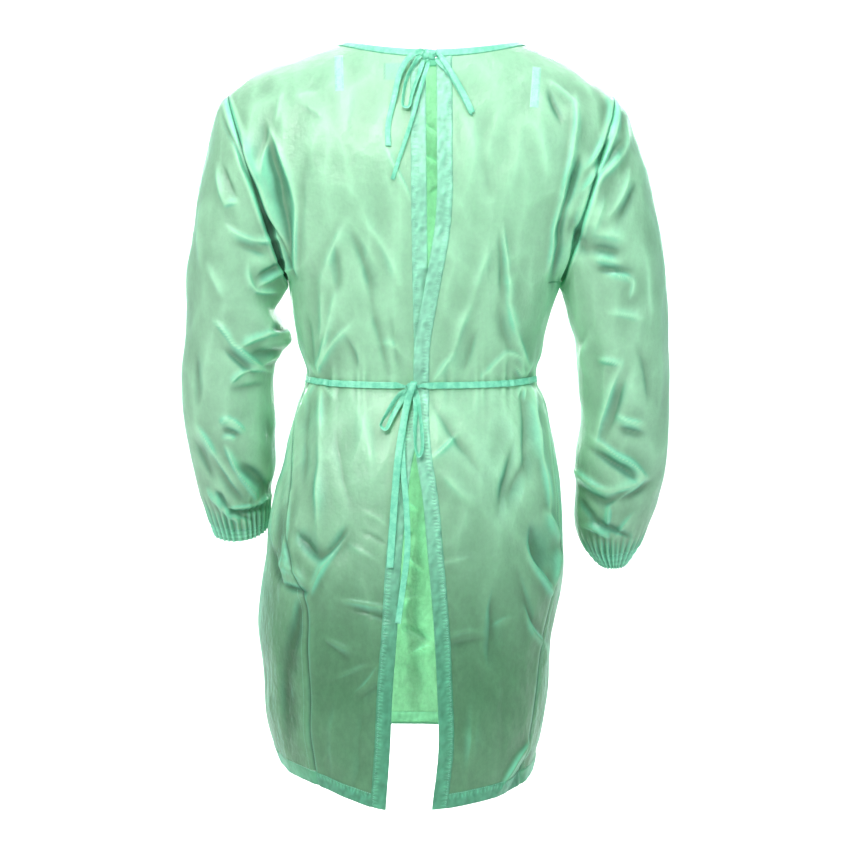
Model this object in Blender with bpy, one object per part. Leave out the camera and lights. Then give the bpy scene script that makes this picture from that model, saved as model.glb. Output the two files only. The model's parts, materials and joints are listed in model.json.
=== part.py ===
"""A reusable medical gown, hollow as it hangs on its wearer, tied at the nape and at the waist.

The wearer faces +Y, so the open back faces -Y. +X is the wearer's right side and +Z is up.
The origin lies between the two neck points, on top of the shoulders that hold the gown up.
Heights are given as the drop below the origin. All sizes are in metres.
"""

import math

import bmesh
import bpy
import numpy as np

# Cloth, clearances and strip widths
WALL = 0.0012
STRIP = 0.0010
GAP = 0.0003
BAND_WIDTH = 0.020
HEM_WIDTH = 0.018
BINDING_DEPTH = 0.0100  # from the neck edge to where the body's second row of points lies
BINDING_REACH = 0.92  # how much of that the neck binding covers
TAPE_WIDTH = 0.010

# Heights, as drops below the origin
NECK_POINT_DROP = 0.0005
UNDERARM_DROP = 0.328
WAIST_DROP = 0.463
HEM_DROP = 1.0255

# Grid sizes
SHOULDER_ROWS = 6
ARMHOLE_ROWS = 12
BODY_COLUMNS = 10
SLEEVE_COLUMNS = 2 * ARMHOLE_ROWS
SLEEVE_ROWS = 25
CUFF_ROWS = 2
GATHERS = ARMHOLE_ROWS

BACK, FRONT = -1, 1
LEFT, RIGHT = -1, 1
ROUNDNESS = 2.35  # exponent of the body's superellipse sections


def read(columns, rows):
    """A table as a dictionary of arrays, with the row numbers under "row"."""
    values = np.array(rows, float)
    table = {name: values[:, i] for i, name in enumerate(columns)}
    table["row"] = np.arange(len(values), dtype=float)
    return table


# Cross-sections of the body below the arms: its sides, back and front at each drop, and where each side
# seam lies, as an angle from the middle of the back
SECTIONS = read(
    ("drop", "left", "right", "back", "front", "seam_left", "seam_right"),
    (
        (0.3280, -0.1885, 0.1885, 0.130, 0.128, 90, 90),
        (0.3500, -0.1865, 0.1815, 0.127, 0.128, 88, 88),
        (0.3890, -0.1806, 0.1695, 0.121, 0.122, 86, 86),
        (0.4310, -0.1708, 0.1610, 0.112, 0.115, 83, 83),
        (0.4520, -0.1655, 0.1545, 0.107, 0.111, 82, 82),
        (0.4680, -0.1685, 0.1560, 0.108, 0.112, 82, 82),
        (0.4950, -0.1778, 0.1680, 0.118, 0.120, 79, 81),
        (0.5370, -0.1880, 0.1770, 0.138, 0.134, 73, 78),
        (0.5800, -0.1970, 0.1848, 0.152, 0.142, 66, 75),
        (0.6440, -0.2128, 0.1918, 0.166, 0.150, 59, 72),
        (0.6870, -0.2212, 0.1932, 0.173, 0.154, 54, 70),
        (0.7300, -0.2280, 0.1940, 0.179, 0.157, 46, 68),
        (0.7730, -0.2325, 0.1895, 0.184, 0.160, 38, 66),
        (0.8380, -0.2365, 0.1780, 0.190, 0.164, 35, 63),
        (0.9030, -0.2310, 0.1745, 0.195, 0.167, 35, 61),
        (0.9680, -0.2250, 0.1650, 0.199, 0.170, 36, 60),
        (0.9900, -0.2200, 0.1600, 0.200, 0.171, 36, 60),
        (1.0255, -0.2080, 0.1530, 0.202, 0.172, 37, 60),
    ),
)

# How far the hem rises from the back edge to the front, and at each side, and how far the waist sags
FRONT_HEM_RISE = 0.0230
SIDE_HEM_RISE = {-1: 0.0245, 1: 0.005}
WAIST_SAG = {-1: 0.0035, 1: 0.0035}

# Centre lines from the neck edge down to the arms
NAPE_LINE = read(
    ("drop", "y"),
    ((0.017, -0.088), (0.060, -0.104), (0.120, -0.124), (0.190, -0.135), (0.260, -0.134), (0.328, -0.130)),
)
THROAT_LINE = read(
    ("drop", "y"),
    ((0.016, 0.084), (0.060, 0.095), (0.120, 0.110), (0.190, 0.123), (0.260, 0.129), (0.328, 0.128)),
)
CENTRE_LINES = {BACK: NAPE_LINE, FRONT: THROAT_LINE}

# Where the two back edges run, across the wearer's back
BACK_EDGES = read(
    ("drop", "left", "right"),
    (
        (0.017, 0.0000, 0.0160),
        (0.140, 0.0010, 0.0165),
        (0.250, 0.0020, 0.0140),
        (0.310, 0.0030, 0.0040),
        (0.365, 0.0040, -0.0060),
        (0.410, 0.0050, -0.0135),
        (0.466, 0.0050, -0.0146),
        (0.520, -0.0060, -0.0140),
        (0.565, -0.0180, -0.0100),
        (0.600, -0.0230, -0.0040),
        (0.680, -0.0310, 0.0040),
        (0.790, -0.0380, 0.0130),
        (0.870, -0.0440, 0.0170),
        (0.940, -0.0470, 0.0185),
        (1.0255, -0.0530, 0.0100),
    ),
)

# Shoulder seams, as a share of the way from the neck point to the sleeve
NECK_REACH = {LEFT: 0.112, RIGHT: 0.130}
FRONT_CENTRE_X = 0.009
SHOULDERS = {
    LEFT: read(
        ("reach", "drop"),
        (
            (0.000, 0.0005), (0.090, 0.0070), (0.220, 0.0135), (0.350, 0.0200), (0.480, 0.0260),
            (0.610, 0.0330), (0.740, 0.0410), (0.875, 0.0510), (1.000, 0.0700),
        ),
    ),
    RIGHT: read(
        ("reach", "drop"),
        (
            (0.000, 0.0005), (0.130, 0.0080), (0.290, 0.0180), (0.447, 0.0280), (0.606, 0.0370),
            (0.765, 0.0490), (0.924, 0.0640), (1.000, 0.0740),
        ),
    ),
}

# Sleeve sections: the outermost and innermost point of each, its middle, depths, gathers and lean
SLEEVE_TABLE_COLUMNS = ("outer", "outer_drop", "inner", "inner_drop", "middle", "back", "front", "gather", "lean")
LEFT_SLEEVE = read(
    SLEEVE_TABLE_COLUMNS,
    (
        (0.2720, 0.070, 0.1885, 0.328, 0.000, 0.086, 0.078, 0, 0.00),
        (0.2845, 0.086, 0.1905, 0.333, 0.000, 0.086, 0.078, 0, 0.00),
        (0.2915, 0.109, 0.1925, 0.340, 0.001, 0.085, 0.078, 0, 0.01),
        (0.2995, 0.140, 0.1955, 0.347, 0.002, 0.084, 0.077, 0, 0.02),
        (0.3085, 0.172, 0.2005, 0.356, 0.003, 0.083, 0.076, 0, 0.03),
        (0.3175, 0.214, 0.2085, 0.368, 0.004, 0.081, 0.075, 0, 0.04),
        (0.3245, 0.262, 0.2040, 0.379, 0.005, 0.078, 0.073, 0, 0.05),
        (0.3315, 0.310, 0.1935, 0.391, 0.006, 0.075, 0.071, 0, 0.06),
        (0.3350, 0.355, 0.1868, 0.411, 0.008, 0.073, 0.069, 0, 0.06),
        (0.3385, 0.400, 0.2040, 0.430, 0.009, 0.071, 0.067, 0, 0.07),
        (0.3415, 0.440, 0.2130, 0.448, 0.011, 0.069, 0.066, 0, 0.08),
        (0.3425, 0.475, 0.2140, 0.472, 0.013, 0.067, 0.065, 0, 0.09),
        (0.3430, 0.505, 0.2125, 0.503, 0.016, 0.065, 0.063, 0, 0.11),
        (0.3395, 0.541, 0.2105, 0.541, 0.020, 0.063, 0.061, 0, 0.13),
        (0.3320, 0.583, 0.2110, 0.583, 0.027, 0.059, 0.057, 0, 0.16),
        (0.3235, 0.626, 0.2200, 0.624, 0.034, 0.053, 0.051, 0.0006, 0.19),
        (0.3155, 0.648, 0.2225, 0.648, 0.038, 0.049, 0.047, 0.0016, 0.21),
        (0.3085, 0.668, 0.2245, 0.667, 0.042, 0.045, 0.043, 0.0028, 0.23),
    ),
)
RIGHT_SLEEVE = read(
    SLEEVE_TABLE_COLUMNS,
    (
        (0.2620, 0.074, 0.1885, 0.328, 0.000, 0.086, 0.078, 0, 0.00),
        (0.2795, 0.096, 0.1905, 0.334, 0.000, 0.086, 0.078, 0, 0.00),
        (0.2870, 0.121, 0.1920, 0.343, 0.001, 0.085, 0.078, 0, 0.01),
        (0.2985, 0.146, 0.1940, 0.353, 0.002, 0.084, 0.077, 0, 0.02),
        (0.3100, 0.178, 0.1970, 0.364, 0.003, 0.082, 0.076, 0, 0.03),
        (0.3205, 0.218, 0.2015, 0.384, 0.005, 0.080, 0.075, 0, 0.04),
        (0.3300, 0.268, 0.2090, 0.406, 0.006, 0.077, 0.073, 0, 0.05),
        (0.3365, 0.322, 0.2125, 0.430, 0.008, 0.074, 0.071, 0, 0.06),
        (0.3410, 0.372, 0.2140, 0.455, 0.009, 0.072, 0.069, 0, 0.06),
        (0.3430, 0.430, 0.2155, 0.484, 0.011, 0.070, 0.067, 0, 0.07),
        (0.3440, 0.485, 0.2190, 0.514, 0.015, 0.067, 0.065, 0, 0.09),
        (0.3440, 0.530, 0.2180, 0.545, 0.019, 0.065, 0.063, 0, 0.11),
        (0.3430, 0.568, 0.2145, 0.574, 0.024, 0.062, 0.060, 0, 0.13),
        (0.3395, 0.603, 0.2145, 0.612, 0.029, 0.059, 0.057, 0, 0.15),
        (0.3320, 0.639, 0.2150, 0.650, 0.035, 0.054, 0.052, 0, 0.16),
        (0.3210, 0.672, 0.2170, 0.680, 0.040, 0.048, 0.046, 0.0006, 0.17),
        (0.3140, 0.690, 0.2235, 0.699, 0.043, 0.043, 0.041, 0.0016, 0.17),
        (0.3070, 0.705, 0.2305, 0.712, 0.045, 0.039, 0.037, 0.0028, 0.17),
    ),
)
LEFT_CUFF = read(
    SLEEVE_TABLE_COLUMNS,
    (
        (0.3083, 0.6688, 0.2246, 0.6678, 0.0420, 0.0448, 0.0428, 0.0028, 0.23),
        (0.3060, 0.6780, 0.2253, 0.6745, 0.0445, 0.0430, 0.0410, 0.0032, 0.25),
        (0.3030, 0.6880, 0.2262, 0.6815, 0.0470, 0.0420, 0.0400, 0.0034, 0.28),
    ),
)
RIGHT_CUFF = read(
    SLEEVE_TABLE_COLUMNS,
    (
        (0.3067, 0.7058, 0.2309, 0.7128, 0.0450, 0.0388, 0.0368, 0.0028, 0.17),
        (0.2990, 0.7200, 0.2400, 0.7240, 0.0475, 0.0350, 0.0330, 0.0030, 0.16),
        (0.2910, 0.7330, 0.2500, 0.7345, 0.0490, 0.0310, 0.0290, 0.0030, 0.15),
    ),
)

# Rows of the skirt. Two lie at the tie's edges, and the last two at the hem band's edges.
SKIRT_DROPS = (
    0.343, 0.363, 0.385, 0.408, 0.432, 0.449, WAIST_DROP - TAPE_WIDTH / 2, WAIST_DROP + TAPE_WIDTH / 2,
    0.485, 0.503, 0.530, 0.562, 0.600, 0.644, 0.690, 0.738, 0.786, 0.836, 0.886, 0.936, 0.976,
    HEM_DROP - HEM_WIDTH, HEM_DROP,
)
YOKE_ROWS = SHOULDER_ROWS + ARMHOLE_ROWS
TIE_ROW = YOKE_ROWS + 7

# Largest folds: a soft ridge, or a trough where the height is negative, between two places
FOLD_COLUMNS = ("x0", "drop0", "x1", "drop1", "width", "height")
BACK_FOLDS = read(
    FOLD_COLUMNS,
    (
        (-0.200, 0.140, -0.176, 0.310, 0.013, -0.011),
        (-0.226, 0.190, -0.192, 0.290, 0.012, 0.006),
        (0.203, 0.105, 0.176, 0.310, 0.013, -0.011),
        (0.226, 0.170, 0.196, 0.285, 0.012, 0.006),
        (-0.120, 0.190, -0.150, 0.400, 0.020, 0.006),
        (-0.085, 0.230, -0.105, 0.430, 0.018, -0.005),
        (0.085, 0.210, 0.100, 0.420, 0.016, -0.005),
        (0.114, 0.240, 0.124, 0.420, 0.014, 0.006),
        (-0.140, 0.475, -0.150, 0.640, 0.016, 0.007),
        (-0.100, 0.480, -0.120, 0.700, 0.018, -0.006),
        (0.120, 0.475, 0.150, 0.640, 0.015, 0.007),
        (0.085, 0.480, 0.100, 0.680, 0.018, -0.006),
        (-0.165, 0.600, -0.180, 0.900, 0.022, -0.007),
        (-0.120, 0.740, -0.115, 0.960, 0.022, 0.006),
        (0.125, 0.700, 0.140, 0.950, 0.022, 0.007),
        (0.070, 0.760, 0.070, 0.980, 0.022, -0.005),
    ),
)
FRONT_FOLDS = read(
    FOLD_COLUMNS,
    (
        (-0.195, 0.150, -0.175, 0.310, 0.014, -0.009),
        (0.195, 0.150, 0.175, 0.310, 0.014, -0.009),
        (-0.110, 0.200, -0.130, 0.420, 0.020, 0.006),
        (0.100, 0.190, 0.125, 0.420, 0.020, 0.006),
        (-0.050, 0.260, -0.075, 0.440, 0.018, -0.005),
        (0.055, 0.270, 0.075, 0.440, 0.018, -0.005),
        (-0.120, 0.490, -0.140, 0.720, 0.020, 0.007),
        (0.100, 0.490, 0.125, 0.740, 0.020, 0.007),
        (-0.060, 0.520, -0.070, 0.800, 0.022, -0.006),
        (0.040, 0.560, 0.050, 0.860, 0.024, 0.006),
        (-0.010, 0.640, -0.015, 0.960, 0.026, -0.006),
        (-0.150, 0.780, -0.150, 0.980, 0.022, 0.007),
    ),
)
SLEEVE_BACK_FOLDS = read(
    FOLD_COLUMNS,
    (
        (-0.262, 0.150, -0.225, 0.330, 0.014, -0.006),
        (-0.300, 0.200, -0.290, 0.330, 0.016, 0.005),
        (-0.215, 0.395, -0.260, 0.345, 0.012, -0.007),
        (-0.205, 0.425, -0.270, 0.430, 0.012, 0.006),
        (-0.310, 0.420, -0.290, 0.560, 0.016, -0.005),
        (-0.255, 0.500, -0.295, 0.640, 0.014, 0.006),
        (0.250, 0.120, 0.205, 0.320, 0.014, -0.008),
        (0.272, 0.130, 0.225, 0.300, 0.014, 0.006),
        (0.222, 0.330, 0.300, 0.350, 0.013, -0.006),
        (0.215, 0.385, 0.290, 0.400, 0.013, 0.006),
        (0.245, 0.520, 0.310, 0.560, 0.014, -0.006),
        (0.225, 0.560, 0.270, 0.660, 0.014, -0.005),
        (0.300, 0.600, 0.260, 0.680, 0.014, 0.005),
    ),
)
SLEEVE_FRONT_FOLDS = read(
    FOLD_COLUMNS,
    (
        (-0.250, 0.160, -0.215, 0.320, 0.014, -0.006),
        (-0.220, 0.400, -0.300, 0.390, 0.013, -0.006),
        (-0.215, 0.450, -0.290, 0.460, 0.013, 0.006),
        (-0.260, 0.530, -0.290, 0.650, 0.014, 0.005),
        (0.250, 0.160, 0.215, 0.320, 0.014, -0.006),
        (0.220, 0.400, 0.300, 0.390, 0.013, -0.006),
        (0.225, 0.450, 0.290, 0.465, 0.013, 0.006),
        (0.260, 0.530, 0.300, 0.650, 0.014, 0.005),
    ),
)

# The right back edge lies over the left one about the waist
OVERLAP_LIFT = 0.0046
OVERLAP_REACH = 0.075
OVERLAP_START = (0.235, 0.295)
OVERLAP_END = (0.555, 0.615)

# Bows. Each tape leaves its knot at an angle in the plane of the back, 0 being to the wearer's right
# and 90 up, and at a depth, more than 0 being nearer the cloth. The tables give places along it, how far
# it stands off the cloth, and how far it leans on edge.
TAPE_COLUMNS = ("x", "drop", "lift", "tilt")
KNOT_GAP = 0.0004
NECK_KNOT = {"x": 0.0047, "drop": 0.0228, "lift": 0.0062, "size": (0.0085, 0.0050, 0.0055)}
WAIST_KNOT = {"x": -0.0188, "drop": 0.4665, "lift": 0.0060, "size": (0.0075, 0.0042, 0.0058)}
NECK_LOOP_LEFT = {
    "leaves": ((188, 0.0), (222, 0.0)),
    "path": read(
        TAPE_COLUMNS,
        (
            (-0.0130, 0.0340, 0.0062, 35),
            (-0.0235, 0.0540, 0.0050, 50),
            (-0.0290, 0.0800, 0.0046, 55),
            (-0.0285, 0.0930, 0.0046, 65),
            (-0.0220, 0.0940, 0.0046, 65),
            (-0.0175, 0.0780, 0.0046, 55),
            (-0.0080, 0.0500, 0.0056, 40),
        ),
    ),
}
NECK_LOOP_RIGHT = {
    "leaves": ((326, 0.0), (356, 0.0)),
    "path": read(
        TAPE_COLUMNS,
        (
            (0.0300, 0.0450, 0.0040, 0),
            (0.0480, 0.0740, 0.0014, 0),
            (0.0600, 0.0975, 0.0012, 0),
            (0.0625, 0.1020, 0.0026, 0),
            (0.0604, 0.0968, 0.0042, 0),
            (0.0490, 0.0730, 0.0048, 0),
            (0.0320, 0.0440, 0.0072, 0),
        ),
    ),
}
NECK_TAIL_OUTER = {
    "leaves": ((158, -0.001),),
    "path": read(
        TAPE_COLUMNS,
        (
            (-0.0200, 0.0270, 0.0100, 0),
            (-0.0330, 0.0480, 0.0096, 0),
            (-0.0410, 0.0820, 0.0048, 0),
            (-0.0490, 0.1200, 0.0016, 0),
            (-0.0485, 0.1460, 0.0013, 0),
        ),
    ),
}
NECK_TAIL_INNER = {
    "leaves": ((262, -0.001),),
    "path": read(
        TAPE_COLUMNS,
        (
            (0.0005, 0.0480, 0.0088, 0),
            (-0.0080, 0.0760, 0.0068, 0),
            (-0.0180, 0.1130, 0.0060, 0),
            (-0.0320, 0.1560, 0.0019, 0),
            (-0.0430, 0.1900, 0.0013, 0),
        ),
    ),
}
WAIST_LOOP_LEFT = {
    "leaves": ((203, 0.0005), (226, 0.0005)),
    "path": read(
        TAPE_COLUMNS,
        (
            (-0.0370, 0.4800, 0.0074, 30),
            (-0.0510, 0.5010, 0.0066, 45),
            (-0.0590, 0.5170, 0.0066, 65),
            (-0.0530, 0.5220, 0.0066, 65),
            (-0.0440, 0.5060, 0.0062, 30),
            (-0.0335, 0.4880, 0.0064, 10),
        ),
    ),
}
WAIST_LOOP_RIGHT = {
    "leaves": ((297, 0.0005), (322, 0.0005)),
    "path": read(
        TAPE_COLUMNS,
        (
            (-0.0125, 0.4930, 0.0056, 30),
            (-0.0135, 0.5200, 0.0064, 50),
            (-0.0120, 0.5480, 0.0072, 60),
            (-0.0080, 0.5560, 0.0074, 65),
            (-0.0040, 0.5480, 0.0074, 60),
            (-0.0045, 0.5200, 0.0072, 50),
            (-0.0080, 0.4930, 0.0070, 40),
        ),
    ),
}
WAIST_TAIL_OUTER = {
    "leaves": ((268, -0.0024),),
    "path": read(
        TAPE_COLUMNS,
        (
            (-0.0240, 0.4900, 0.0116, 0),
            (-0.0300, 0.5200, 0.0112, 0),
            (-0.0360, 0.5600, 0.0094, 0),
            (-0.0395, 0.6000, 0.0070, 0),
            (-0.0430, 0.6500, 0.0044, 0),
            (-0.0465, 0.7020, 0.0036, 0),
        ),
    ),
}
WAIST_TAIL_INNER = {
    "leaves": ((250, 0.0010),),
    "path": read(
        TAPE_COLUMNS,
        (
            (-0.0245, 0.4900, 0.0072, 0),
            (-0.0290, 0.5200, 0.0066, 0),
            (-0.0300, 0.5600, 0.0056, 0),
            (-0.0250, 0.6200, 0.0044, 0),
            (-0.0235, 0.6800, 0.0034, 0),
            (-0.0300, 0.7320, 0.0030, 0),
            (-0.0360, 0.7750, 0.0030, 0),
        ),
    ),
}
TAPE_STATIONS = 20

# Short tapes on the shoulder blades, and the care label behind the left back panel
SHOULDER_TAPES = {
    "left": ((-0.1165, 0.022), (-0.1140, 0.072)),
    "right": ((0.1510, 0.038), (0.1455, 0.094)),
}
LABEL_TOP = (-0.040, 0.0345)
LABEL_SIZE = (0.030, 0.022)

COLOURS = {
    "cloth": (0.24, 0.62, 0.42, 1.0),
    "band": (0.32, 0.78, 0.58, 1.0),
    "tie": (0.30, 0.80, 0.58, 1.0),
    "label": (0.82, 0.90, 0.86, 1.0),
}


def smooth(table, name, key, at):
    """A table's column at any key: a cubic curve through its rows."""
    xs, ys = table[key], table[name]
    slopes = np.gradient(ys, xs)
    at = np.clip(np.asarray(at, float), xs[0], xs[-1])
    i = np.clip(np.searchsorted(xs, at, side="right") - 1, 0, len(xs) - 2)
    h = xs[i + 1] - xs[i]
    t = (at - xs[i]) / h
    ends = (1 + 2 * t) * (1 - t) ** 2 * ys[i] + t * t * (3 - 2 * t) * ys[i + 1]
    return ends + t * (1 - t) ** 2 * h * slopes[i] - t * t * (1 - t) * h * slopes[i + 1]


def step(low, high, value):
    """0 below low, 1 above high and a smooth rise between."""
    t = np.clip((value - low) / (high - low), 0, 1)
    return t * t * (3 - 2 * t)


def signed_power(value, power):
    return np.sign(value) * np.abs(value) ** power


def unit(vectors):
    return vectors / np.maximum(np.linalg.norm(vectors, axis=-1, keepdims=True), 1e-12)


def resample(line, lengths):
    """Points at the given distances along a line of close points."""
    steps = np.linalg.norm(np.diff(line, axis=0), axis=1)
    along = np.concatenate([[0], np.cumsum(steps)])
    return np.stack([np.interp(lengths, along, line[:, k]) for k in range(3)], axis=1)


def line_length(line):
    return float(np.linalg.norm(np.diff(line, axis=0), axis=1).sum())


def columns_of(line, face):
    """A row's points from the centre to the side. The back's first cell is as wide as its edge band."""
    total = line_length(line)
    if face == FRONT:
        return resample(line, np.linspace(0, total, BODY_COLUMNS + 1))
    rest = np.linspace(BAND_WIDTH, total, BODY_COLUMNS)
    return resample(line, np.concatenate([[0], rest]))


def section_line(drop, side, face):
    """One quarter of the body's section, from its centre to the side seam, as close points."""
    seam_name = "seam_left" if side == LEFT else "seam_right"
    left, right, back, front, seam = (
        float(smooth(SECTIONS, name, "drop", drop)) for name in ("left", "right", "back", "front", seam_name)
    )
    centre, half = (left + right) / 2, (right - left) / 2
    start = 180.0
    if face == BACK:
        edge = float(smooth(BACK_EDGES, "left" if side == LEFT else "right", "drop", drop))
        share = side * (edge - centre) / half
        start = math.degrees(math.asin(signed_power(share, ROUNDNESS / 2)))
    angles = np.radians(np.linspace(start, seam, 91))
    across = signed_power(np.sin(angles), 2 / ROUNDNESS)
    away = signed_power(np.cos(angles), 2 / ROUNDNESS)
    y = np.where(away > 0, -back * away, -front * away)
    x = centre + side * half * across
    to_front = (1 - away) / 2
    aside = step(0.05, 0.75, across) * (1 - step(0.5, 1.0, to_front))
    low = step(WAIST_DROP, HEM_DROP, drop)
    rise = low * (FRONT_HEM_RISE * to_front + SIDE_HEM_RISE[side] * aside)
    rise -= WAIST_SAG[side] * math.exp(-(((drop - WAIST_DROP) / 0.06) ** 2)) * np.clip(away, 0, 1)
    return np.stack([x, y, rise - drop], axis=1)


def armhole(side, face):
    """The seam between body and sleeve from the shoulder to the underarm."""
    sleeve = LEFT_SLEEVE if side == LEFT else RIGHT_SLEEVE
    first = {name: values[0] for name, values in sleeve.items()}
    turn = np.linspace(0, math.pi, ARMHOLE_ROWS + 1)
    depth = first["back"] if face == BACK else first["front"]
    x = side * ((first["outer"] + first["inner"]) + (first["outer"] - first["inner"]) * np.cos(turn)) / 2
    drops = first["outer_drop"], first["inner_drop"]
    drop = (drops[0] + drops[1] + (drops[0] - drops[1]) * np.cos(turn)) / 2
    return np.stack([x, face * depth * np.sin(turn), -drop], axis=1)


def shoulder_seam(side):
    """The seam on top of the shoulder. Its second point is where the neck binding ends."""
    tip = (LEFT_SLEEVE if side == LEFT else RIGHT_SLEEVE)["outer"][0]
    length = tip - NECK_REACH[side]
    share = np.concatenate([[0], np.linspace(BINDING_DEPTH / length, 1, SHOULDER_ROWS)])
    x = side * (NECK_REACH[side] + length * share)
    return np.stack([x, np.zeros_like(x), -smooth(SHOULDERS[side], "drop", "reach", share)], axis=1)


def yoke(side, face):
    """The quarter above the arms. Each row is an arc from the centre line to the shoulder or armhole."""
    line = CENTRE_LINES[face]
    first = line["drop"][0]
    drops = np.concatenate([[first], np.linspace(first + BINDING_DEPTH, UNDERARM_DROP, YOKE_ROWS)])
    border = np.concatenate([shoulder_seam(side), armhole(side, face)[1:]])
    rows = []
    for row, (drop, end) in enumerate(zip(drops, border)):
        share = row / YOKE_ROWS
        power = 2 + (ROUNDNESS - 2) * share
        middle = FRONT_CENTRE_X * (1 - share) ** 2
        depth = abs(float(smooth(line, "y", "drop", drop)))
        last = math.acos(min(abs(end[1]) / depth, 1) ** (power / 2))
        half = abs(end[0] - middle) / math.sin(last) ** (2 / power)
        start = 0.0
        if face == BACK:
            edge = float(smooth(BACK_EDGES, "left" if side == LEFT else "right", "drop", drop))
            start = math.asin(signed_power(side * (edge - middle) / half, power / 2))
        turn = np.linspace(start, last, 91)
        x = middle + side * half * signed_power(np.sin(turn), 2 / power)
        y = face * depth * signed_power(np.cos(turn), 2 / power)
        z = (end[2] + drop) * np.sin(np.clip(turn / last, 0, 1) * math.pi / 2) ** 2 - drop
        rows.append(columns_of(np.stack([x, y, z], axis=1), face))
    return np.stack(rows)


def quarter(side, face):
    """A quarter of the body from the neck to the hem, as a grid of points."""
    skirt = [columns_of(section_line(drop, side, face), face) for drop in SKIRT_DROPS]
    return np.concatenate([yoke(side, face), np.stack(skirt)])


def sleeve_rings(table, side, rows, columns):
    """A tube's grid of points, from the table's first section to its last."""
    at = np.linspace(0, table["row"][-1], rows + 1)
    value = {name: smooth(table, name, "row", at)[:, None] for name in SLEEVE_TABLE_COLUMNS}
    turn = np.linspace(0, 2 * math.pi, columns, endpoint=False)[None]
    depth = np.where(np.sin(turn) > 0, value["back"], value["front"])
    middle_x = (value["outer"] + value["inner"]) / 2
    middle_drop = (value["outer_drop"] + value["inner_drop"]) / 2
    across = np.cos(turn) * (value["outer"] - value["inner"]) / 2
    down = np.cos(turn) * (value["outer_drop"] - value["inner_drop"]) / 2
    away = -depth * np.sin(turn)
    z = -(middle_drop + down) + value["lean"] * away
    points = np.stack([side * (middle_x + across), value["middle"] + away, z], axis=-1)
    waves = np.cos(GATHERS * turn) * value["gather"]
    return points, waves


def normals_of(points, closed=False):
    """Outward normals of a grid, by differences between neighbouring points."""
    down = np.gradient(points, axis=0)
    if closed:
        across = np.roll(points, -1, axis=1) - np.roll(points, 1, axis=1)
    else:
        across = np.gradient(points, axis=1)
    normals = unit(np.cross(down, across))
    centre = points.mean(axis=(0, 1))
    centre[1] = 0.0 if not closed else centre[1]
    if (normals * (points - centre)).sum() < 0:
        normals = -normals
    return normals


def fold_height(points, table):
    """How far the folds in a table raise each point, seen along the wearer's depth."""
    height = np.zeros(points.shape[:-1])
    x, drop = points[..., 0], -points[..., 2]
    for x0, drop0, x1, drop1, width, rise in zip(*(table[name] for name in FOLD_COLUMNS)):
        dx, dd = x1 - x0, drop1 - drop0
        square = dx * dx + dd * dd
        along = ((x - x0) * dx + (drop - drop0) * dd) / square
        aside = ((x - x0) * dd - (drop - drop0) * dx) / math.sqrt(square)
        ends = step(-0.05, 0.3, along) * (1 - step(0.7, 1.05, along))
        height += rise * ends * np.exp(-((aside / width) ** 2))
    return height


def waist_gathers(points):
    """Small pleats that run up and down from the tie and die out away from it."""
    drop = -points[..., 2]
    fade = np.exp(-np.abs(drop - WAIST_DROP) / 0.035)
    side = np.clip(np.abs(points[..., 0]) / 0.16, 0, 1) ** 2
    return -0.003 * fade * side * (0.5 + 0.5 * np.cos(points[..., 0] * 2 * math.pi / 0.042))


def share_normals(normals, places):
    """Gives grids that meet along a seam one normal there, so their walls end side by side."""
    total = unit(sum(normals[name][index] for name, index in places))
    for name, index in places:
        normals[name][index] = total


def mitre(body, sleeve):
    """Seam normals for body and sleeve. In a deep valley, each keeps its own."""
    weight = step(0.0, 0.5, (body * sleeve).sum(axis=-1, keepdims=True))
    return unit(body + weight * sleeve), unit(sleeve + weight * body)


def all_normals(body, sleeves):
    """Normals of the four body quarters and both sleeves, shared along their seams."""
    normals = {key: normals_of(grid) for key, grid in body.items()}
    for side, grid in sleeves.items():
        normals[side] = normals_of(grid, closed=True)
    seam = slice(YOKE_ROWS, None)
    shoulder = slice(0, SHOULDER_ROWS + 1)
    share_normals(normals, [((LEFT, FRONT), (slice(None), 0)), ((RIGHT, FRONT), (slice(None), 0))])
    for side in (LEFT, RIGHT):
        pair = (side, BACK), (side, FRONT)
        share_normals(normals, [(key, (seam, -1)) for key in pair])
        share_normals(normals, [(key, (shoulder, -1)) for key in pair])
        for face in (BACK, FRONT):
            rows = slice(SHOULDER_ROWS, YOKE_ROWS)
            around = (face * -np.arange(ARMHOLE_ROWS)) % SLEEVE_COLUMNS
            ring = normals[side][0]
            own, other = normals[side, face][rows, -1], ring[around]
            normals[side, face][rows, -1], ring[around] = mitre(own, other)
        tip = unit(normals[side, BACK][SHOULDER_ROWS, -1] + normals[side, FRONT][SHOULDER_ROWS, -1])
        for grid, index in ((normals[side, BACK], (SHOULDER_ROWS, -1)), (normals[side, FRONT], (SHOULDER_ROWS, -1))):
            grid[index] = tip
        normals[side][0, 0] = tip
    return normals


def away_from_rows(rows, first, last):
    """A column of weights: 0 at a border row and 1 a few rows inside it."""
    index = np.arange(rows)
    return (step(0, first, index) if first else 1) * (step(0, last, rows - 1 - index) if last else 1)


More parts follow.
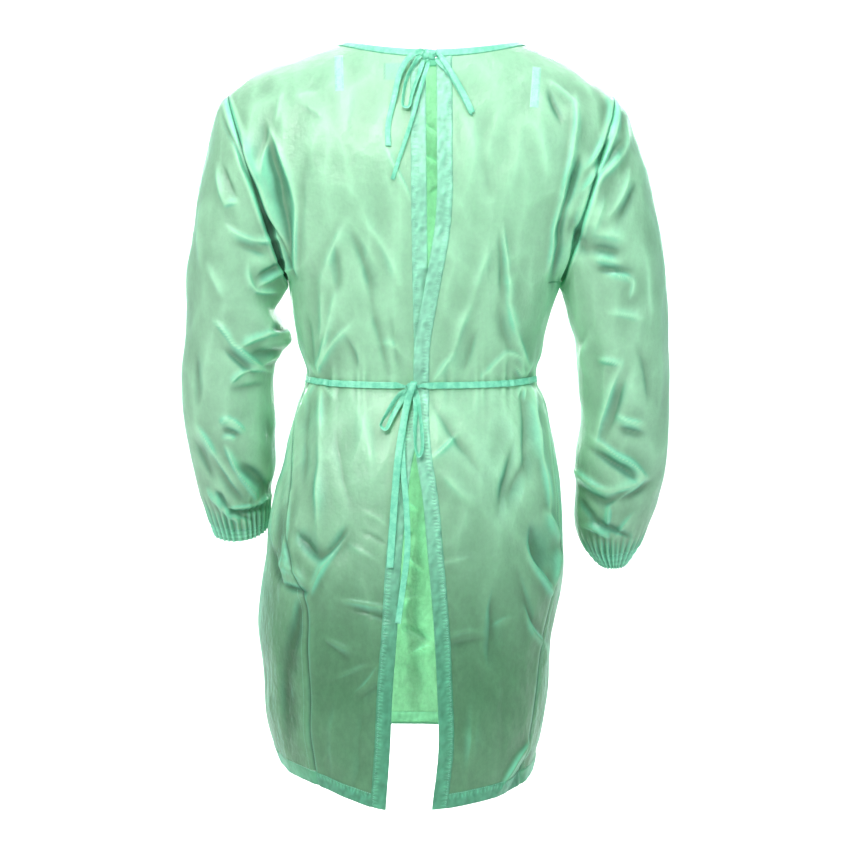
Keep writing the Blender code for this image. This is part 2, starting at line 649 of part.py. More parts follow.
def fold_body(body, normals):
    folded = {}
    for (side, face), grid in body.items():
        height = fold_height(grid, BACK_FOLDS if face == BACK else FRONT_FOLDS) + waist_gathers(grid)
        columns = np.arange(BODY_COLUMNS + 1)
        from_side = step(0, 2, BODY_COLUMNS - columns)[None]
        from_side = np.repeat(from_side, len(grid), axis=0)
        height = height * from_side * away_from_rows(len(grid), 3, 0)[:, None]
        if (side, face) == (RIGHT, BACK):
            drop = -grid[..., 2]
            reach = np.linalg.norm(grid - grid[:, :1], axis=-1)
            window = step(*OVERLAP_START, drop) * (1 - step(*OVERLAP_END, drop))
            height = height + OVERLAP_LIFT * window * (1 - step(BAND_WIDTH, OVERLAP_REACH, reach))
        folded[side, face] = grid + normals[side, face] * height[..., None]
    return folded


def fold_sleeves(sleeves, waves, normals):
    folded = {}
    for side, grid in sleeves.items():
        directions = normals[side].copy()
        directions[-1] = in_ring_planes(grid, directions)[-1]
        facing = -normals[side][..., 1]
        height = fold_height(grid, SLEEVE_BACK_FOLDS) * np.clip(facing * 1.5, 0, 1)
        height = height + fold_height(grid, SLEEVE_FRONT_FOLDS) * np.clip(-facing * 1.5, 0, 1)
        height = height * away_from_rows(len(grid), 3, 2)[:, None] + waves[side]
        folded[side] = grid + directions * height[..., None]
    return folded


def moved_in(points, top=0.0, bottom=0.0, first=0.0, last=0.0):
    """A grid whose borders are drawn in along the cloth by the given distances."""
    out = points.copy()
    if top:
        out[0] += unit(points[1] - points[0]) * top
    if bottom:
        out[-1] += unit(points[-2] - points[-1]) * bottom
    if first:
        out[:, 0] += unit(points[:, 1] - points[:, 0]) * first
    if last:
        out[:, -1] += unit(points[:, -2] - points[:, -1]) * last
    return out


def link(name, mesh, colour):
    """Adds a mesh to the scene as one named piece with its own material."""
    obj = bpy.data.objects.new(name, mesh)
    bpy.context.scene.collection.objects.link(obj)
    material = bpy.data.materials.new(name)
    material.use_nodes = True
    shader = material.node_tree.nodes["Principled BSDF"]
    shader.inputs["Base Color"].default_value = COLOURS[colour]
    shader.inputs["Roughness"].default_value = 0.45
    shader.inputs["Metallic"].default_value = 0.0
    mesh.materials.append(material)
    mesh.shade_smooth()
    mesh.set_sharp_from_angle(angle=math.radians(50))
    return obj


def sheet(name, outer, inner, colour, closed=False):
    """A wall of cloth between two grids of the same size. Both faces are split the same way."""
    rows, columns = outer.shape[:2]
    count = rows * columns
    wrap = columns if closed else columns - 1
    faces = []
    for r in range(rows - 1):
        for c in range(wrap):
            a, b = r * columns + c, r * columns + (c + 1) % columns
            d, e = a + columns, b + columns
            faces += [(a, d, b), (b, d, e)]
            faces += [(a + count, b + count, d + count), (b + count, e + count, d + count)]
    for c in range(wrap):
        n = (c + 1) % columns
        low = (rows - 1) * columns
        faces += [(c, n, n + count), (c, n + count, c + count)]
        faces += [(low + n, low + c, low + c + count), (low + n, low + c + count, low + n + count)]
    if not closed:
        for r in range(rows - 1):
            a, d = r * columns, (r + 1) * columns
            b, e = a + columns - 1, d + columns - 1
            faces += [(d, a, a + count), (d, a + count, d + count)]
            faces += [(b, e, e + count), (b, e + count, b + count)]
    mesh = bpy.data.meshes.new(name)
    points = np.concatenate([outer.reshape(-1, 3), inner.reshape(-1, 3)])
    mesh.from_pydata(points.tolist(), [], faces)
    work = bmesh.new()
    work.from_mesh(mesh)
    bmesh.ops.recalc_face_normals(work, faces=work.faces)
    work.to_mesh(mesh)
    work.free()
    return link(name, mesh, colour)


def wall(name, points, normals, colour, closed=False, thickness=WALL):
    return sheet(name, points, points - normals * thickness, colour, closed)


def laid_on(name, points, normals, lift, colour):
    """A strip that lies on a panel: the panel's own points, moved out."""
    lift = np.asarray(lift)[..., None] if np.ndim(lift) else lift
    return sheet(name, points + normals * (lift + STRIP), points + normals * lift, colour)


def in_ring_planes(points, normals):
    """A tube's end rings get normals in their own planes, so that two tubes can meet end to end."""
    out = normals.copy()
    for row in (0, -1):
        ring = points[row]
        middle = ring.mean(axis=0)
        axis = unit(np.cross(ring[0] - middle, ring[len(ring) // 4] - middle))
        out[row] = unit(out[row] - (out[row] @ axis)[:, None] * axis)
    return out


def make_panels(body, normals):
    half = GAP / 2
    for side, name in ((LEFT, "back_panel_left"), (RIGHT, "back_panel_right")):
        wall(name, moved_in(body[side, BACK], last=half), normals[side, BACK], "cloth")
    left = body[LEFT, FRONT][:, ::-1]
    points = np.concatenate([left, body[RIGHT, FRONT][:, 1:]], axis=1)
    directions = np.concatenate([normals[LEFT, FRONT][:, ::-1], normals[RIGHT, FRONT][:, 1:]], axis=1)
    wall("front_panel", moved_in(points, first=half, last=half), directions, "cloth")
    return points, directions


def make_sleeves(sleeves, normals):
    names = {LEFT: "left", RIGHT: "right"}
    for side, grid in sleeves.items():
        points = moved_in(grid, top=GAP)
        directions = normals[side].copy()
        directions[-1] = in_ring_planes(points, directions)[-1]
        wall(f"sleeve_{names[side]}", points, directions, "cloth", closed=True)
        table = LEFT_CUFF if side == LEFT else RIGHT_CUFF
        points, waves = sleeve_rings(table, side, CUFF_ROWS, SLEEVE_COLUMNS)
        directions = in_ring_planes(points, normals_of(points, closed=True))
        points = points + directions * waves[..., None]
        directions = in_ring_planes(points, normals_of(points, closed=True))
        wall(f"cuff_{names[side]}", points, directions, "band", closed=True)


def make_bands(body, normals, front, front_normals):
    """Turned edges: down both back edges, and along the hem of each panel."""
    below = slice(1, None)
    for side, name in ((LEFT, "left"), (RIGHT, "right")):
        grid, direction = body[side, BACK], normals[side, BACK]
        edge = moved_in(grid[below, :2], last=GAP)
        laid_on(f"back_edge_band_{name}", edge, direction[below, :2], GAP, "band")
        hem = moved_in(grid[-2:, 1:], first=GAP, last=GAP)
        laid_on(f"hem_band_back_{name}", hem, direction[-2:, 1:], GAP, "band")
    hem = moved_in(front[-2:], first=GAP, last=GAP)
    laid_on("hem_band_front", hem, front_normals[-2:], GAP, "band")


def make_neck_binding(body, normals):
    """A tape folded over the raw neck edge, from one back edge round the front to the other."""
    order = [((LEFT, BACK), 1), ((LEFT, FRONT), -1), ((RIGHT, FRONT), 1), ((RIGHT, BACK), -1)]
    columns = []
    for key, way in order:
        both = np.concatenate([body[key][:2, ::way], normals[key][:2, ::way]])
        columns.append(both if not columns else both[:, 1:])
    edge, below, out, out_below = np.concatenate(columns, axis=1)
    down = unit(below - edge)
    leg = edge + (below - edge) * BINDING_REACH
    out_leg = unit(out + (out_below - out) * BINDING_REACH)
    lip = GAP + STRIP
    rings = [
        leg + out_leg * lip,
        edge - down * lip + out * lip,
        edge - down * lip - out * (WALL + lip),
        leg - out_leg * (WALL + lip),
        leg - out_leg * (WALL + GAP),
        edge - down * GAP - out * (WALL + GAP),
        edge - down * GAP + out * GAP,
        leg + out_leg * GAP,
    ]
    rising = np.array([False, False, True, True, False, False, True, True])
    slants = np.tile(rising, (len(edge) - 1, 1))
    slants[-BODY_COLUMNS:] = ~rising
    sweep("neck_binding", np.stack(rings, axis=1), "tie", slants)


def sweep(name, rings, colour, slants=None):
    """A closed solid through a row of like outlines, with its two ends filled. Slants turn a cell's diagonal."""
    stations, corners = rings.shape[:2]
    if slants is None:
        slants = np.zeros((stations - 1, corners), bool)
    work = bmesh.new()
    verts = [[work.verts.new(point) for point in ring] for ring in rings.tolist()]
    for a, b, slant in zip(verts, verts[1:], slants):
        for k in range(corners):
            n = (k + 1) % corners
            if slant[k]:
                work.faces.new((a[k], a[n], b[k]))
                work.faces.new((a[n], b[n], b[k]))
            else:
                work.faces.new((a[k], a[n], b[n]))
                work.faces.new((a[k], b[n], b[k]))
    ends = [work.faces.new(verts[0]), work.faces.new(verts[-1])]
    bmesh.ops.triangulate(work, faces=ends)
    bmesh.ops.recalc_face_normals(work, faces=work.faces)
    mesh = bpy.data.meshes.new(name)
    work.to_mesh(mesh)
    work.free()
    return link(name, mesh, colour)


def samples_of(body, normals):
    """Close points on both back panels, with their normals, to place loose pieces by."""
    points, directions = [], []
    shares = np.linspace(0, 1, 7)[:-1]
    for side in (LEFT, RIGHT):
        grid, direction = body[side, BACK], normals[side, BACK]
        for u in shares:
            for v in shares:
                weights = ((1 - u) * (1 - v), u * (1 - v), (1 - u) * v, u * v)
                for source, store in ((grid, points), (direction, directions)):
                    corners = (source[:-1, :-1], source[1:, :-1], source[:-1, 1:], source[1:, 1:])
                    store.append(sum(w * c for w, c in zip(weights, corners)).reshape(-1, 3))
    return np.concatenate(points), unit(np.concatenate(directions))


def cloth_at(samples, x, drop):
    """The back's outermost point at a place across and down it, and the normal there."""
    points, directions = samples
    distance = np.hypot(points[:, 0] - x, points[:, 2] + drop)
    near = np.flatnonzero(distance < max(0.005, distance.min() + 0.001))
    best = near[np.argmin(points[near, 1])] if x > -0.03 else near[np.argmin(distance[near])]
    return np.array([x, points[best, 1], -drop]), directions[best]


def knot_place(knot, samples):
    place, _ = cloth_at(samples, knot["x"], knot["drop"])
    return place + np.array([0.0, -knot["lift"], 0.0])


def leave_knot(knot, centre, leave):
    """Two places just off a knot, straight out from it at the given angle and depth."""
    angle, depth = leave
    across, up = math.cos(math.radians(angle)), math.sin(math.radians(angle))
    wide, deep, high = knot["size"]
    reach = math.sqrt(1 - (depth / deep) ** 2) / math.hypot(across / wide, up / high)
    out = unit(np.array([across / wide**2, 0.0, up / high**2]))
    start = centre + reach * np.array([across, 0.0, up]) + np.array([0.0, depth, 0.0]) + KNOT_GAP * out
    return start, start + 0.0025 * out


def tape_path(tape, knot, samples):
    """Stations along a tape, its lean at each, and how far each lies from the knot."""
    table = tape["path"]
    centre = knot_place(knot, samples)
    places = []
    for x, drop, lift in zip(table["x"], table["drop"], table["lift"]):
        place, _ = cloth_at(samples, x, drop)
        places.append(place - np.array([0.0, lift, 0.0]))
    tilt = [0.0, 0.0, *table["tilt"]]
    places = [*leave_knot(knot, centre, tape["leaves"][0]), *places]
    if len(tape["leaves"]) > 1:
        places += leave_knot(knot, centre, tape["leaves"][1])[::-1]
        tilt += [0.0, 0.0]
    places = np.array(places)
    steps = np.sqrt(np.linalg.norm(np.diff(places, axis=0), axis=1))
    along = np.concatenate([[0], np.cumsum(steps)])
    line = {"along": along, "x": places[:, 0], "y": places[:, 1], "z": places[:, 2], "tilt": np.array(tilt)}
    at = np.linspace(0, along[-1], TAPE_STATIONS)
    points = np.stack([smooth(line, name, "along", at) for name in "xyz"], axis=1)
    return points, np.radians(np.interp(at, along, line["tilt"])), np.linalg.norm(points - centre, axis=1)


def make_tape(name, tape, knot, samples, width):
    """A loose tape, flat against the cloth or leaning on its edge, and bunched where it leaves its knot."""
    places, tilt, away = tape_path(tape, knot, samples)
    facing = np.tile([0.0, -1.0, 0.0], (len(places), 1))
    along = unit(np.gradient(places, axis=0))
    across = np.cross(along, facing)
    size = np.linalg.norm(across, axis=1, keepdims=True)
    across = np.where(size > 0.2, across / np.maximum(size, 1e-9), 0)
    for i in range(len(across)):
        if not across[i].any():
            across[i] = across[i - 1]
    for i in range(1, len(across)):
        if across[i] @ across[i - 1] < 0:
            across[i] = -across[i]
    out = unit(np.cross(across, along))
    lean, stand = np.cos(tilt)[:, None], np.sin(tilt)[:, None]
    across, out = lean * across + stand * out, lean * out - stand * across
    half = width / 2 * (0.3 + 0.7 * step(0.007, 0.022, away))[:, None]
    thick = STRIP / 2
    rings = [places + a * half * across + b * thick * out for a, b in ((1, 1), (-1, 1), (-1, -1), (1, -1))]
    sweep(name, np.stack(rings, axis=1), "tie")


def make_waist_ties(body, normals, centre):
    """The ties run from the side seams along the waist to the knot, over the back edge bands."""
    over_band = 2 * GAP + STRIP
    rows = slice(TIE_ROW, TIE_ROW + 2)
    wide, _, high = WAIST_KNOT["size"]
    for side, name, first in ((LEFT, "left", 2), (RIGHT, "right", 1)):
        grid, direction = body[side, BACK][rows, first:], normals[side, BACK][rows, first:]
        lift = np.full(grid.shape[1], GAP * 1.5)
        if side == RIGHT:
            lift[0] = over_band + GAP / 2
        points = moved_in(grid, last=0.008)
        end = centre + np.array([side * (wide + KNOT_GAP), 0.0005, 0.0])
        ends = np.stack([end + [0, 0, high / 4], end - [0, 0, high / 4]])[:, None]
        points = np.concatenate([ends, points], axis=1)
        direction = np.concatenate([np.tile([0.0, -1.0, 0.0], (2, 1, 1)), direction], axis=1)
        lift = np.concatenate([[0.0], lift])
        laid_on(f"waist_tie_{name}", points, direction, np.tile(lift, (2, 1)), "tie")


def make_knot(name, knot, samples):
    work = bmesh.new()
    bmesh.ops.create_uvsphere(work, u_segments=14, v_segments=8, radius=1.0)
    for vert in work.verts:
        vert.co = [c * s for c, s in zip(vert.co, knot["size"])]
    bmesh.ops.translate(work, verts=work.verts, vec=knot_place(knot, samples).tolist())
    mesh = bpy.data.meshes.new(name)
    work.to_mesh(mesh)
    work.free()
    link(name, mesh, "tie")


def patch_on_back(samples, start, end, width, rows, columns):
    """A small rectangular grid on the back cloth, from one place down to another."""
    start, end = np.array(start), np.array(end)
    along = (end - start) / np.linalg.norm(end - start)
    aside = np.array([along[1], -along[0]])
    points = np.zeros((rows, columns, 3))
    normals = np.zeros_like(points)
    for i, t in enumerate(np.linspace(0, 1, rows)):
        for j, s in enumerate(np.linspace(-width / 2, width / 2, columns)):
            x, drop = start + (end - start) * t + aside * s
            distance = np.hypot(samples[0][:, 0] - x, samples[0][:, 2] + drop)
            near = np.argsort(distance)[:8]
            weight = 1 / (distance[near] + 1e-5) ** 2
            weight = (weight / weight.sum())[:, None]
            points[i, j] = (samples[0][near] * weight).sum(axis=0)
            points[i, j, 0], points[i, j, 2] = x, -drop
            normals[i, j] = unit((samples[1][near] * weight).sum(axis=0))
    return points, normals


def make_small_pieces(samples):
    """The two short shoulder tapes outside, and the blank care label inside the neck."""
    for name, (start, end) in SHOULDER_TAPES.items():
        points, normals = patch_on_back(samples, start, end, TAPE_WIDTH, 6, 2)
        laid_on(f"shoulder_tape_{name}", points, normals, 2.5 * GAP, "tie")
    bottom = (LABEL_TOP[0] - 0.002, LABEL_TOP[1] + LABEL_SIZE[1])
    points, normals = patch_on_back(samples, LABEL_TOP, bottom, LABEL_SIZE[0], 3, 4)
    inner = points - normals * (WALL + 2.5 * GAP)
    sheet("neck_label", inner, inner - normals * STRIP, "label")


def make_bows(samples):
    make_knot("neck_knot", NECK_KNOT, samples)
    make_knot("waist_knot", WAIST_KNOT, samples)
    for name, tape, knot, width in (
        ("neck_loop_left", NECK_LOOP_LEFT, NECK_KNOT, 0.007),
        ("neck_loop_right", NECK_LOOP_RIGHT, NECK_KNOT, TAPE_WIDTH),
        ("neck_tail_outer", NECK_TAIL_OUTER, NECK_KNOT, TAPE_WIDTH),
        ("neck_tail_inner", NECK_TAIL_INNER, NECK_KNOT, 0.008),
        ("waist_loop_left", WAIST_LOOP_LEFT, WAIST_KNOT, 0.007),
        ("waist_loop_right", WAIST_LOOP_RIGHT, WAIST_KNOT, 0.007),
        ("waist_tail_outer", WAIST_TAIL_OUTER, WAIST_KNOT, 0.009),
        ("waist_tail_inner", WAIST_TAIL_INNER, WAIST_KNOT, 0.008),
    ):
        make_tape(name, tape, knot, samples, width)


def main():
    for obj in list(bpy.data.objects):
        bpy.data.objects.remove(obj)
    body = {(side, face): quarter(side, face) for side in (LEFT, RIGHT) for face in (BACK, FRONT)}
    sleeves, waves = {}, {}
    for side, table in ((LEFT, LEFT_SLEEVE), (RIGHT, RIGHT_SLEEVE)):
        sleeves[side], waves[side] = sleeve_rings(table, side, SLEEVE_ROWS, SLEEVE_COLUMNS)
    plain = all_normals(body, sleeves)
    body = fold_body(body, plain)
    sleeves = fold_sleeves(sleeves, waves, plain)
    normals = all_normals(body, sleeves)
    front, front_normals = make_panels(body, normals)
    make_sleeves(sleeves, normals)
    make_bands(body, normals, front, front_normals)
    make_neck_binding(body, normals)
    samples = samples_of(body, normals)
    make_waist_ties(body, normals, knot_place(WAIST_KNOT, samples))
    make_small_pieces(samples)
    make_bows(samples)


main()
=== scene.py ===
"""The looks of a medical gown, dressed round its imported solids.

Each solid is replaced by thin cloth on the same form, with its folds, gathers, turned edges and sewing.
The wearer faces +Y, so the open back faces -Y and the camera. +X is the wearer's right side.
Heights are given as the drop below the origin. Sizes are in metres, and the fold tables in millimetres.
"""

import json
import math

import bpy
import numpy as np
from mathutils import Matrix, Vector, noise

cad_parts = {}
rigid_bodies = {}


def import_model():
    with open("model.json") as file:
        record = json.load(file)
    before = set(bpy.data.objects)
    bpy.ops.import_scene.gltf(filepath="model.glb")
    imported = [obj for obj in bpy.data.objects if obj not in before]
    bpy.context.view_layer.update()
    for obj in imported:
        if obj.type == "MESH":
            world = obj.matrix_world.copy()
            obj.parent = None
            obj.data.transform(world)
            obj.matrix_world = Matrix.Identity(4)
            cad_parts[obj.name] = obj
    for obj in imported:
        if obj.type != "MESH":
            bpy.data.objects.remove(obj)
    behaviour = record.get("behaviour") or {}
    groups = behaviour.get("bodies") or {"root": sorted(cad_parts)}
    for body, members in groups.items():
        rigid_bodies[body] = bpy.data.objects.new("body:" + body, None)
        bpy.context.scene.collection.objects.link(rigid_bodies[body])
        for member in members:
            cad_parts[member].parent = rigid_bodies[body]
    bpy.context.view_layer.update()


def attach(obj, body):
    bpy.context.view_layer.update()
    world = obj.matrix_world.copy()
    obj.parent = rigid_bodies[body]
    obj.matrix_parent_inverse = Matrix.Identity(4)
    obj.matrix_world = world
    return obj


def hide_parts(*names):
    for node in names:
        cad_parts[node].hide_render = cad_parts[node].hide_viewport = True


for old in list(bpy.data.objects):
    bpy.data.objects.remove(old)
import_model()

# Widths of strips, and how far the lying pieces stand off the cloth
BAND_WIDTH = 0.020
HEM_WIDTH = 0.018
BINDING_DEPTH = 0.0100
BINDING_REACH = 0.92
TAPE_THICK = 0.0007
STRIP_LIFT = 0.0009
CLEAR = 0.0010

# Heights, as drops below the origin
UNDERARM_DROP = 0.328
WAIST_DROP = 0.463
HEM_DROP = 1.0255

# The form's own rows, and how many fine cells each gets
SHOULDER_ROWS = 6
ARMHOLE_ROWS = 12
YOKE_ROWS = SHOULDER_ROWS + ARMHOLE_ROWS
FINE = 10
SKIRT_CELLS = 260
HEM_ROWS = 1 + round(HEM_WIDTH / (HEM_DROP - UNDERARM_DROP) * SKIRT_CELLS)
BAND_CELLS = 8
BACK_CELLS = 116
FRONT_CELLS = 96
SLEEVE_CELLS = 220
SLEEVE_COLUMNS = 2 * ARMHOLE_ROWS * FINE
CUFF_CELLS = 14
GATHERS = 31

BACK, FRONT = -1, 1
LEFT, RIGHT = -1, 1
SIDES = {LEFT: "left", RIGHT: "right"}
ROUNDNESS = 2.35  # exponent of the body's superellipse sections


def read(columns, rows):
    """A table as a dictionary of arrays, with the row numbers under "row"."""
    values = np.array(rows, float)
    table = {name: values[:, i] for i, name in enumerate(columns)}
    table["row"] = np.arange(len(values), dtype=float)
    return table


def bow(leaves, rows):
    """A loose tape: how it leaves its knot, and its path."""
    return {"leaves": leaves, "path": read(TAPE_COLUMNS, rows)}


# Cross-sections of the body below the arms: its sides, back and front at each drop, and where each side
# seam lies, as an angle from the middle of the back
SECTIONS = read(
    ("drop", "left", "right", "back", "front", "seam_left", "seam_right"),
    (
        (0.3280, -0.1885, 0.1885, 0.130, 0.128, 90, 90),
        (0.3500, -0.1865, 0.1815, 0.127, 0.128, 88, 88),
        (0.3890, -0.1806, 0.1695, 0.121, 0.122, 86, 86),
        (0.4310, -0.1708, 0.1610, 0.112, 0.115, 83, 83),
        (0.4520, -0.1655, 0.1545, 0.107, 0.111, 82, 82),
        (0.4680, -0.1685, 0.1560, 0.108, 0.112, 82, 82),
        (0.4950, -0.1778, 0.1680, 0.118, 0.120, 79, 81),
        (0.5370, -0.1880, 0.1770, 0.138, 0.134, 73, 78),
        (0.5800, -0.1970, 0.1848, 0.152, 0.142, 66, 75),
        (0.6440, -0.2128, 0.1918, 0.166, 0.150, 59, 72),
        (0.6870, -0.2212, 0.1932, 0.173, 0.154, 54, 70),
        (0.7300, -0.2280, 0.1940, 0.179, 0.157, 46, 68),
        (0.7730, -0.2325, 0.1895, 0.184, 0.160, 38, 66),
        (0.8380, -0.2365, 0.1780, 0.190, 0.164, 35, 63),
        (0.9030, -0.2310, 0.1745, 0.195, 0.167, 35, 61),
        (0.9680, -0.2250, 0.1650, 0.199, 0.170, 36, 60),
        (0.9900, -0.2200, 0.1600, 0.200, 0.171, 36, 60),
        (1.0255, -0.2080, 0.1530, 0.202, 0.172, 37, 60),
    ),
)

# How far the hem rises from the back edge to the front, and at each side, and how far the waist sags
FRONT_HEM_RISE = 0.0230
SIDE_HEM_RISE = {LEFT: 0.0245, RIGHT: 0.005}
WAIST_SAG = 0.0035

# Centre lines from the neck edge down to the arms
NAPE_LINE = read(
    ("drop", "y"),
    ((0.017, -0.088), (0.060, -0.104), (0.120, -0.124), (0.190, -0.135), (0.260, -0.134), (0.328, -0.130)),
)
THROAT_LINE = read(
    ("drop", "y"),
    ((0.016, 0.084), (0.060, 0.095), (0.120, 0.110), (0.190, 0.123), (0.260, 0.129), (0.328, 0.128)),
)
CENTRE_LINES = {BACK: NAPE_LINE, FRONT: THROAT_LINE}

# Where the two back edges run, across the wearer's back
BACK_EDGES = read(
    ("drop", "left", "right"),
    (
        (0.017, 0.0000, 0.0160),
        (0.140, 0.0010, 0.0165),
        (0.250, 0.0020, 0.0140),
        (0.310, 0.0030, 0.0040),
        (0.365, 0.0040, -0.0060),
        (0.410, 0.0050, -0.0135),
        (0.466, 0.0050, -0.0146),
        (0.520, -0.0060, -0.0140),
        (0.565, -0.0180, -0.0100),
        (0.600, -0.0230, -0.0040),
        (0.680, -0.0310, 0.0040),
        (0.790, -0.0380, 0.0130),
        (0.870, -0.0440, 0.0170),
        (0.940, -0.0470, 0.0185),
        (1.0255, -0.0530, 0.0100),
    ),
)

# Shoulder seams, as a share of the way from the neck point to the sleeve
NECK_REACH = {LEFT: 0.112, RIGHT: 0.130}
FRONT_CENTRE_X = 0.009
SHOULDERS = {
    LEFT: read(
        ("reach", "drop"),
        (
            (0.000, 0.0005), (0.090, 0.0070), (0.220, 0.0135), (0.350, 0.0200), (0.480, 0.0260),
            (0.610, 0.0330), (0.740, 0.0410), (0.875, 0.0510), (1.000, 0.0700),
        ),
    ),
    RIGHT: read(
        ("reach", "drop"),
        (
            (0.000, 0.0005), (0.130, 0.0080), (0.290, 0.0180), (0.447, 0.0280), (0.606, 0.0370),
            (0.765, 0.0490), (0.924, 0.0640), (1.000, 0.0740),
        ),
    ),
}

# Sleeve sections: the outermost and innermost point of each, its middle, depths, gathers and lean
SLEEVE_TABLE_COLUMNS = (
    "outer", "outer_drop", "inner", "inner_drop", "middle", "back", "front", "gather", "lean",
)
LEFT_SLEEVE = read(
    SLEEVE_TABLE_COLUMNS,
    (
        (0.2720, 0.070, 0.1885, 0.328, 0.000, 0.086, 0.078, 0, 0.00),
        (0.2845, 0.086, 0.1905, 0.333, 0.000, 0.086, 0.078, 0, 0.00),
        (0.2915, 0.109, 0.1925, 0.340, 0.001, 0.085, 0.078, 0, 0.01),
        (0.2995, 0.140, 0.1955, 0.347, 0.002, 0.084, 0.077, 0, 0.02),
        (0.3085, 0.172, 0.2005, 0.356, 0.003, 0.083, 0.076, 0, 0.03),
        (0.3175, 0.214, 0.2085, 0.368, 0.004, 0.081, 0.075, 0, 0.04),
        (0.3245, 0.262, 0.2040, 0.379, 0.005, 0.078, 0.073, 0, 0.05),
        (0.3315, 0.310, 0.1935, 0.391, 0.006, 0.075, 0.071, 0, 0.06),
        (0.3350, 0.355, 0.1868, 0.411, 0.008, 0.073, 0.069, 0, 0.06),
        (0.3385, 0.400, 0.2040, 0.430, 0.009, 0.071, 0.067, 0, 0.07),
        (0.3415, 0.440, 0.2130, 0.448, 0.011, 0.069, 0.066, 0, 0.08),
        (0.3425, 0.475, 0.2140, 0.472, 0.013, 0.067, 0.065, 0, 0.09),
        (0.3430, 0.505, 0.2125, 0.503, 0.016, 0.065, 0.063, 0, 0.11),
        (0.3395, 0.541, 0.2105, 0.541, 0.020, 0.063, 0.061, 0, 0.13),
        (0.3320, 0.583, 0.2110, 0.583, 0.027, 0.059, 0.057, 0, 0.16),
        (0.3235, 0.626, 0.2200, 0.624, 0.034, 0.053, 0.051, 0.0006, 0.19),
        (0.3155, 0.648, 0.2225, 0.648, 0.038, 0.049, 0.047, 0.0016, 0.21),
        (0.3085, 0.668, 0.2245, 0.667, 0.042, 0.045, 0.043, 0.0028, 0.23),
    ),
)
RIGHT_SLEEVE = read(
    SLEEVE_TABLE_COLUMNS,
    (
        (0.2620, 0.074, 0.1885, 0.328, 0.000, 0.086, 0.078, 0, 0.00),
        (0.2795, 0.096, 0.1905, 0.334, 0.000, 0.086, 0.078, 0, 0.00),
        (0.2870, 0.121, 0.1920, 0.343, 0.001, 0.085, 0.078, 0, 0.01),
        (0.2985, 0.146, 0.1940, 0.353, 0.002, 0.084, 0.077, 0, 0.02),
        (0.3100, 0.178, 0.1970, 0.364, 0.003, 0.082, 0.076, 0, 0.03),
        (0.3205, 0.218, 0.2015, 0.384, 0.005, 0.080, 0.075, 0, 0.04),
        (0.3300, 0.268, 0.2090, 0.406, 0.006, 0.077, 0.073, 0, 0.05),
        (0.3365, 0.322, 0.2125, 0.430, 0.008, 0.074, 0.071, 0, 0.06),
        (0.3410, 0.372, 0.2140, 0.455, 0.009, 0.072, 0.069, 0, 0.06),
        (0.3430, 0.430, 0.2155, 0.484, 0.011, 0.070, 0.067, 0, 0.07),
        (0.3440, 0.485, 0.2190, 0.514, 0.015, 0.067, 0.065, 0, 0.09),
        (0.3440, 0.530, 0.2180, 0.545, 0.019, 0.065, 0.063, 0, 0.11),
        (0.3430, 0.568, 0.2145, 0.574, 0.024, 0.062, 0.060, 0, 0.13),
        (0.3395, 0.603, 0.2145, 0.612, 0.029, 0.059, 0.057, 0, 0.15),
        (0.3320, 0.639, 0.2150, 0.650, 0.035, 0.054, 0.052, 0, 0.16),
        (0.3210, 0.672, 0.2170, 0.680, 0.040, 0.048, 0.046, 0.0006, 0.17),
        (0.3140, 0.690, 0.2235, 0.699, 0.043, 0.043, 0.041, 0.0016, 0.17),
        (0.3070, 0.705, 0.2305, 0.712, 0.045, 0.039, 0.037, 0.0028, 0.17),
    ),
)
LEFT_CUFF = read(
    SLEEVE_TABLE_COLUMNS,
    (
        (0.3083, 0.6688, 0.2246, 0.6678, 0.0420, 0.0448, 0.0428, 0.0028, 0.23),
        (0.3060, 0.6780, 0.2253, 0.6745, 0.0445, 0.0430, 0.0410, 0.0032, 0.25),
        (0.3030, 0.6880, 0.2262, 0.6815, 0.0470, 0.0420, 0.0400, 0.0034, 0.28),
    ),
)
RIGHT_CUFF = read(
    SLEEVE_TABLE_COLUMNS,
    (
        (0.3067, 0.7058, 0.2309, 0.7128, 0.0450, 0.0388, 0.0368, 0.0028, 0.17),
        (0.2990, 0.7200, 0.2400, 0.7240, 0.0475, 0.0350, 0.0330, 0.0030, 0.16),
        (0.2910, 0.7330, 0.2500, 0.7345, 0.0490, 0.0310, 0.0290, 0.0030, 0.15),
    ),
)

